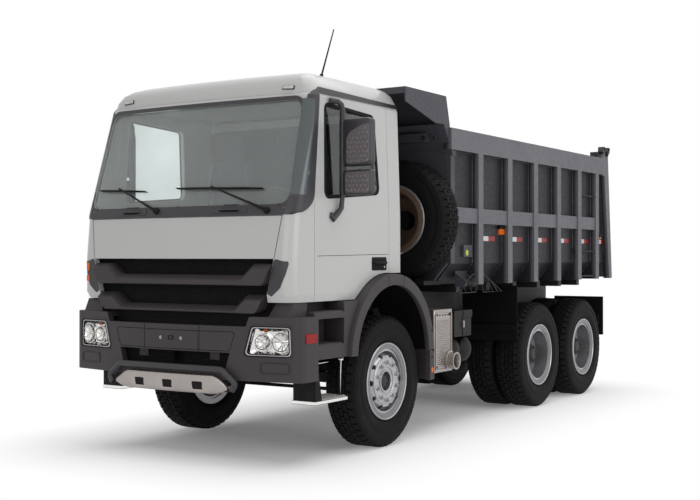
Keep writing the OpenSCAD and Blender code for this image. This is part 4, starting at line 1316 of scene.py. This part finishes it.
for side_name, way in SIDES.items():
    door = Shape("gap black bright")
    door.band(drawn_in(DOOR_WINDOW, WINDOW_MIDDLE, -0.012, -0.012), on_left, 34, 3, step=40, sink=6)
    door.seam([(1118, 1712), (-16, 1728)], on_left, 5, 0.6)
    # Handle: a dark cup with a pull across it and a lock
    door.look("black")
    door.pad(plate((20, 1584), (272, 1702), 16), on_left, 3)
    door.look("gap")
    door.pad(plate((36, 1596), (256, 1690), 12), on_left, 4)
    door.look("black")
    bar = [on_left(x, 1652) for x in (40, 58, 236, 254)]
    door.tube([Vector(e[0]) + Vector(e[1]) * r for e, r in zip(bar, (3, 20, 20, 3))], [14, 13, 13, 14], 10)
    door.look("bright")
    bolt(door, on_left(62, 1614), 11, 9)
    if way < 0:
        door.flip()
    door.piece(f"door_fittings_{side_name}", f"door_{side_name}")

    # Mirror: two rounded housings on a post, patterned plates in front, glass at the back, and two arms
    mirror_set = Shape("flank plate chrome trim")
    for (low, high, corner), outline in zip(HOUSINGS, PLATES):
        mirror_set.look("trim")
        rows = []
        for x, inset in ((757, 16), (760, 6), (770, 0), (818, 0), (833, 7), (839, 18)):
            ring = plate((1206 + inset, low + inset), (1490 - inset, high - inset), corner, 7)
            rows.append([(x, u, v) for u, v in ring])
        mirror_set.skin(rows)
        mirror_set.look("flank")
        mirror_set.pad(rounded(outline, 26), flat_ahead(838), 7, edge=6)
        # Raised bars, each column leaning the other way
        low_z = min(v for u, v in outline)
        high_z = max(v for u, v in outline)
        mirror_set.look("plate")
        for i in range(6):
            for j in range(8):
                y = 1266 + i * BAR_STEP + (BAR_STEP / 2 if j % 2 else 0)
                z = low_z + 26 + j * BAR_STEP
                past_slope = high_z > 2500 and z > 2640 + (y - 1240) * 0.72
                if y <= 1462 and z <= high_z - 18 and not past_slope:
                    raised_bar(mirror_set, y, z, math.radians(42 if i % 2 else -42))
        mirror_set.look("chrome")
        glass_outline = plate((1228, low + 16), (1476, high - 16), corner - 12)
        mirror_set.prism(glass_outline, front, 758, 753)
    mirror_set.look("trim")
    mirror_set.tube([(798, 1192, z) for z in (2218, 2240, 2835, 2857)], [24, 32, 32, 24], 14)
    mirror_set.tube([(800, 1188, 2225), (806, 1180, 2110), (850, 1170, 2062), (903, 1158, 2019),
                     (922, 1156, 2040), (918, 1156, 2072)], [20, 22, 24, 28, 22, 14], 10)
    mirror_set.tube([(798, 1190, 2846), (806, 1192, 2930), (822, 1190, 2975), (850, 1176, 2998),
                     (905, 1130, 3006)], [26, 24, 24, 24, 26], 12)
    if way < 0:
        mirror_set.flip()
    mirror_set.piece(f"mirror_full_{side_name}", f"door_{side_name}",
                     stands_for=[f"mirror_{side_name}"])

# Seam on the cab's side behind the door, and ribs on the back of the cab
rear = Shape("paint")
rear.seam([(-24, 1728), (-262, 1736)], on_left, 5, 0.6)
for y in (700, 240):
    rear.strip([((-271, y, 1600), BEHIND), ((-271, y, 2980), BEHIND)], 60, 12)
rear.mirror()
rear.piece("cab_side_seams", "chassis")

# Steps: patterned treads with raised rims round their holes, which are dark discs of painted shade
treads = Shape("bright black chrome")


def tread(shape, low, high, z, across, deep, rim, hole):
    """A tread between two (X, Y) corners, with rows of holes shown as dark discs of painted shade; rim and
    hole are finishes.
    """
    shape.look(rim)
    shape.pad(plate(low, high, 14), flat_up(z), 6, edge=4)
    for i in range(across):
        for j in range(deep):
            x = low[0] + (high[0] - low[0]) * (i + 0.5) / across
            y = low[1] + (high[1] - low[1]) * (j + 0.5) / deep
            place = Matrix.Translation((x, y, z + 5))
            shape.look(rim)
            shape.lathe([(9, 0), (10, 5), (13, 5), (16, 0)], place, 14)
            shape.look(hole)
            shape.disc([(9.4, 0.6), (9.4, 1.6)], place, 14)


tread(treads, (720, 956), (1156, 1176), 535, 10, 5, "bright", "black")
treads.look("chrome")
for y, out in ((950, RIGHT), (1180, LEFT)):
    treads.strip([((716, y, 519), out), ((1190, y, 519), out)], 30, 3)
treads.strip([((1190, 950, 519), AHEAD), ((1190, 1180, 519), AHEAD)], 30, 3)
treads.tube([(742, 1120, 540), (738, 1122, 700), (730, 1124, 862)], 9, 8)
treads.disc([(20, -12), (24, 0), (20, 12), (8, 20)], Matrix.Translation((730, 1124, 846)), 16)
treads.look("black")
treads.prism([(1188, 525), (1188, 869), (1158, 869), (1090, 525)], side, 1166, 1178)
treads.mirror()
treads.piece("low_treads", "chassis")
treads = Shape("plastic gap")
for z in (986, 1251):
    tread(treads, (800, 1000), (1222, 1192), z, 11, 5, "plastic", "gap")
treads.mirror()
treads.piece("well_treads", "chassis")

# Fender seams, side markers and bolts
fender = Shape("gap orange chassis")
ARCH = (10.0, 830.0)
ARCH_R = 723.0
FENDER_Y = 1240.0
for angle in (80.5, 103.0):
    a = math.radians(angle)
    ends = [(ARCH[0] + r * math.cos(a), ARCH[1] + r * math.sin(a)) for r in (ARCH_R - 98, ARCH_R - 2)]
    fender.look("gap")
    fender.seam(ends, flat_left(FENDER_Y), 6, 0.8)
fender.look("orange")
fender.pad(oval((-664, 640), 19, 26, 20), flat_left(FENDER_Y), 10, edge=6)
fender.look("chassis")
for z in (760, 1010):
    bolt(fender, flat_left(FENDER_Y)(-670, z), 8, 5)
fender.mirror()
fender.piece("fender_fittings", "chassis")

# Silencer: a pressed shield with ribs, a rolled frame, and the outlet's flange
shield = Shape("bright black")
FACE = 1225.0
shield.pad(plate((-1092, 602), (-728, 1196), 46, 6), flat_left(FACE - 2), 8, edge=8)
shield.band(plate((-1070, 624), (-750, 1174), 36, 6), flat_left(FACE), 16, 14, step=40)
RIB_COUNT = 22
RIB_STEP = 20.5
for k in range(RIB_COUNT):
    z = 668 + k * RIB_STEP
    left_x = -1036 if z > 800 else -930
    rib = ((left_x, 2), (left_x + 16, 9), (-796, 9), (-780, 2))
    shield.tube([(x, FACE + lift, z) for x, lift in rib], 7.5, 8)
shield.look("black")
for x in (-1010, -952, -894, -836):
    shield.pad(plate((x - 20, 1138), (x + 20, 1150), 5), flat_left(FACE + 5), 2)
for x, z in ((-1046, 1150), (-774, 1150), (-774, 650)):
    shield.disc([(13, 8), (13, 12), (6, 14)], facing((x, FACE, z), LEFT), 16)
shield.look("bright")
pipe = facing((-1040, FACE, 700), LEFT)
shield.lathe([(76, 0), (76, 6), (96, 6), (98, 14), (80, 18), (79, 70), (84, 76), (84, 84), (70, 84),
              (69, 20), (69, 0)], pipe, 48)
shield.look("black")
shield.disc([(68, 14), (68, 16)], pipe, 32)
shield.piece("silencer_shield", "chassis", bevel=1.5)

# Battery box with its lid, strap and latch, and the bands of the air tanks
battery = Shape("iron chassis bright white")
battery.prism(plate((-1676, 1092), (-1280, 1166), 16), side, 632, 1158)
battery.look("chassis")
strap = ((1151, 910), (1152, 1090), (1159, 1100), (1159, 1160))
battery.strip([((-1478, y, z), LEFT) for y, z in strap], 26, 4)
battery.look("bright")
battery.pad(plate((-1492, 990), (-1464, 1066), 8), flat_left(1153), 14, edge=5)
battery.look("chassis")
for x in (-1400, -1660):
    for y in (690, 960):
        place = facing((x, y, 763), LEFT)
        battery.lathe([(122, -16), (126, -14), (126, 14), (122, 16)], place, 48)
    battery.look("white")
    battery.disc([(15, 0), (15, 6), (8, 9)], facing((x + 46, 1117, 790), (0.35, 1, 0.2)), 16)
    battery.look("chassis")
battery.piece("battery_fittings", "chassis", bevel=3)

# Fuel tank: bands and filler
tank = Shape("chassis black")
for x in (-1610, -990):
    ring = plate((-1191, 558), (-559, 1152), 10)
    tank.prism(ring, front, x - 30, x + 30)
    tank.strip([((x, -1192, z), RIGHT) for z in (600, 1110)], 60, 5)
tank.look("black")
tank.disc([(62, 0), (62, 20), (56, 30), (20, 34)], Matrix.Translation((-950, -1000, 1186)), 32)
tank.piece("tank_bands", "chassis")

# Dark lining of the front wheel arches
liner = Shape("flap")
rows = []
for k in range(25):
    a = math.radians(12 + 168 * k / 24)
    c, s = math.cos(a), math.sin(a)
    ring = []
    for r, y in ((ARCH_R - 26, 704), (ARCH_R - 26, 1188), (ARCH_R - 32, 1186), (ARCH_R - 32, 706)):
        ring.append((ARCH[0] + r * c, y, ARCH[1] + r * s))
    rows.append(ring)
liner.skin(rows)
liner.mirror()
liner.piece("arch_liners", "chassis")

# Bed
RIBS = (-1695, -2404, -3093, -3767, -4421, -5020)
RIB_HALF = 55.0
WELD_Y = SHEET_Y + 2
on_sheet = flat_left(SHEET_Y)
# Reflective marks behind each rib
MARK_STEP = 150
marks = Shape("white red black orange bed yellow")
for x in RIBS:
    for k, look in enumerate(("white", "red")):
        marks.look(look)
        near = x - 168 - MARK_STEP * k
        marks.pad(plate((near - 148, 1867), (near, 1918), 5), on_sheet, 5)
# Side marker lamps under dark brackets
for near, far, low, high in ((-2378, -2242, 1935, 2038), (-5284, -5220, 1925, 1990)):
    marks.look("black")
    marks.pad(plate((near - 6, high - 42), (far + 6, high), 8), on_sheet, 34, edge=6)
    marks.look("orange")
    marks.pad(plate((near, low), (far, high - 34), 12), on_sheet, 30, edge=9)
# A flat box with an oval reflector, behind the spare wheel
marks.look("bed")
marks.pad(plate((-1596, 1700), (-1406, 1823), 8), on_sheet, 26, edge=5)
marks.look("yellow")
marks.pad(oval((-1468, 1744), 26, 30, 24), flat_left(SHEET_Y + 26), 8, edge=6)
marks.mirror()
marks.piece("bed_marks", "bed")

fittings = Shape("hub bed iron")
# Wire frames at the first rib: the outer wire and two inner ones, as X and Z
WIRE_Y = 1232.0
WIRES = [([(-1748, 1540), (-2226, 1337), (-1772, 1342), (-1748, 1420)],
          [(-1860, 1492), (-2010, 1340)], [(-1960, 1450), (-2120, 1338)]),
         ([(-1642, 1420), (-1600, 1346), (-1218, 1345), (-1502, 1515), (-1642, 1540)],
          [(-1330, 1412), (-1390, 1345)], [(-1430, 1472), (-1520, 1345)])]
for wires in WIRES:
    for wire, radius in zip(wires, (6, 5, 5)):
        fittings.tube([side(x, z, WIRE_Y) for x, z in wire], radius, 6)
# Roller on its bracket at the bed's front corner
fittings.look("bed")
fittings.prism([(-1390, 1560), (-1640, 1560), (-1640, 1460), (-1560, 1400), (-1420, 1400)], side, 1100, 1116)
CHEEK = [(1108, 1540), (1222, 1480), (1236, 1440), (1222, 1404), (1190, 1396), (1108, 1410)]
for x in (-1400, -1612):
    fittings.prism(CHEEK, front, x, x + 12)
fittings.look("iron")
roller = facing((-1606, 1194, 1440), AHEAD)
fittings.disc([(20, 0), (34, 4), (34, 60), (28, 66), (28, 140), (34, 146), (34, 196), (20, 200)], roller, 24)
# Corner posts, and plates that close the slanted wall's ends
fittings.look("bed")
fittings.prism(rectangle((-1206, 1146), (-1126, 1200)), plan, 1640, 2748)
fittings.prism([(-1206, 2700), (-1126, 2700), (-938, 2988), (-1056, 2988)], side, 1128, 1222)
fittings.look("iron")
# Rungs between the last two ribs
for z in (1465, 1768, 2455):
    fittings.tube([(RIBS[5], 1230, z), (RIBS[4], 1230, z)], 10, 8)
# Hook and hinge lugs
fittings.tube([(-4340, 1180, 1790), (-4340, 1212, 1780), (-4340, 1214, 1740), (-4340, 1196, 1722)], 9, 8)
fittings.look("bed")
LUGS_X = (-5282, -5440)
for x in LUGS_X:
    lug = rounded([(x - 44, 3040), (x + 44, 3040), (x + 34, 3112), (x - 34, 3112)], 18)
    fittings.prism(lug, side, 1174, 1246)
fittings.look("iron")
hinge = facing((-5362, 1252, 3030), LEFT)
fittings.disc([(44, 0), (44, 5), (30, 6), (30, 14), (22, 18)], hinge, 24)
for x in LUGS_X:
    bolt(fittings, ((x, 1246, 3086), LEFT), 15, 16)
# Bolts on the headboard's beam
for y in (300, 620, 990):
    bolt(fittings, ((-950, y, 2860), AHEAD), 16, 14)
for x, z in ((-1000, 2860), (-935, 2880), (-935, 2830)):
    bolt(fittings, ((x, 1076, z), LEFT), 11, 10)
fittings.mirror()
fittings.piece("bed_fittings", "bed")

# Weld seams down the ribs and along the rails
welds = Shape("bed")
for x in RIBS:
    for edge_x in (x - RIB_HALF - 3, x + RIB_HALF + 3):
        for low, high in ((1650, 2036), (2194, 2746)):
            welds.tube([(edge_x, WELD_Y, low), (edge_x, WELD_Y, high)], 5, 6)
for near, far in zip((-1180,) + tuple(x - RIB_HALF for x in RIBS), tuple(x + RIB_HALF for x in RIBS)):
    for z in (2036, 2194, 2746):
        welds.tube([(near, WELD_Y, z), (far, WELD_Y, z)], 5, 6)
# Rows of plug welds on each panel
for x in RIBS[1:]:
    for z in range(2230, 2730, 36):
        welds.disc([(6, -1), (6, 1.5), (3, 2.5)], facing((x + 240, SHEET_Y, z), LEFT), 8)
welds.mirror()
welds.piece("bed_welds", "bed")

# Tailgate: latches, grab bars and bolts on its outer face
gate = Shape("bed iron")
LEAN = math.radians(5)
HINGE = (-5362.0, 3030.0)


def on_gate(y, down, out):
    """A point on the leaning gate: Y, distance below its pins and distance behind its middle."""
    x = HINGE[0] - out * math.cos(LEAN) - down * math.sin(LEAN)
    return (x, y, HINGE[1] - down * math.cos(LEAN) + out * math.sin(LEAN))


GATE_OUT = (-math.cos(LEAN), 0.0, math.sin(LEAN))
for y in (420, 980):
    gate.look("bed")
    bar = ((-70, 30), (-70, 66), (70, 66), (70, 30))
    gate.tube([on_gate(y + along_y, 1180, out) for along_y, out in bar], 10, 8)
    for down in (160, 877, 1534):
        gate.look("iron")
        bolt(gate, (on_gate(y, down, 80), GATE_OUT), 16, 12)
for down in (1480, 1588):
    gate.look("bed")
    gate.tube([on_gate(1085, down, 78), on_gate(1085, down, 100), on_gate(1120, down, 100)], 14, 10)
gate.mirror()
gate.piece("tailgate_fittings", "tailgate")

# Cab inside: seats, lining and instruments
SEATS_Y = 600.0
seat = Shape("cloth")
tip = Matrix.Rotation(math.radians(-4), 4, "Y")
lean = Matrix.Rotation(math.radians(-9), 4, "Y")
for way in (1, -1):
    y = SEATS_Y * way
    seat.pillow(Matrix.Translation((315, y, 1990)) @ tip, (520, 480, 130))
    for step in (205, -205):
        seat.pillow(Matrix.Translation((325, y + step, 2012)) @ tip, (470, 70, 120), 3.0)
    seat.pillow(Matrix.Translation((45, y, 2310)) @ lean, (130, 440, 640))
    for step in (-195, 195):
        seat.pillow(Matrix.Translation((68, y + step, 2300)) @ lean, (120, 70, 560), 3.0)
    seat.pillow(Matrix.Translation((-20, y, 2715)) @ lean, (110, 235, 200), 3.0)
cushions = seat.piece("seat_cushions", "chassis", stands_for=["seats"])
pedestal = Shape("dash")
for way in (1, -1):
    near, far = sorted((440 * way, 760 * way))
    rows = []
    for z, back_x, front_x in ((1610, 120, 500), (1650, 126, 494), (1760, 150, 440), (1900, 104, 478),
                               (1930, 100, 480)):
        rows.append([(u, v, z) for u, v in plate((back_x, near), (front_x, far), 30)])
    pedestal.skin(rows)
pedestal.piece("seat_bases", "chassis")

lining = Shape("lining")
lining.prism(plate((-1060, 1640), (1060, 2960), 60), front, -213, -204)
for y in (-700, -240, 240, 700):
    lining.strip([((-204, y, 1700), AHEAD), ((-204, y, 2900), AHEAD)], 40, 8)
rows = []
for x, z in ((-180, 3030), (-100, 3096), (150, 3128), (560, 3128), (900, 3060), (1010, 3020)):
    half = 900 if z > 3100 else 980
    rows.append([(x, -half, z), (x, half, z), (x, half, z + 6), (x, -half, z + 6)])
lining.skin(rows)
lining.piece("cab_lining", "chassis")

# Hood over the instruments, and vents along the dashboard
instruments = Shape("dash black")
rows = []
for x, z in ((1010, 2066), (1000, 2120), (1060, 2140), (1180, 2128), (1240, 2096)):
    rows.append([(x, u, z) for u in (370, 830)] + [(x, u, z - 60 if x > 1005 else z - 8) for u in (830, 370)])
instruments.skin(rows)
instruments.look("black")
for y in (-820, -420, 60, 960):
    instruments.prism(plate((975, y - 90), (1055, y + 90), 16), plan, 2066, 2080)
instruments.piece("dash_details", "chassis", bevel=6)
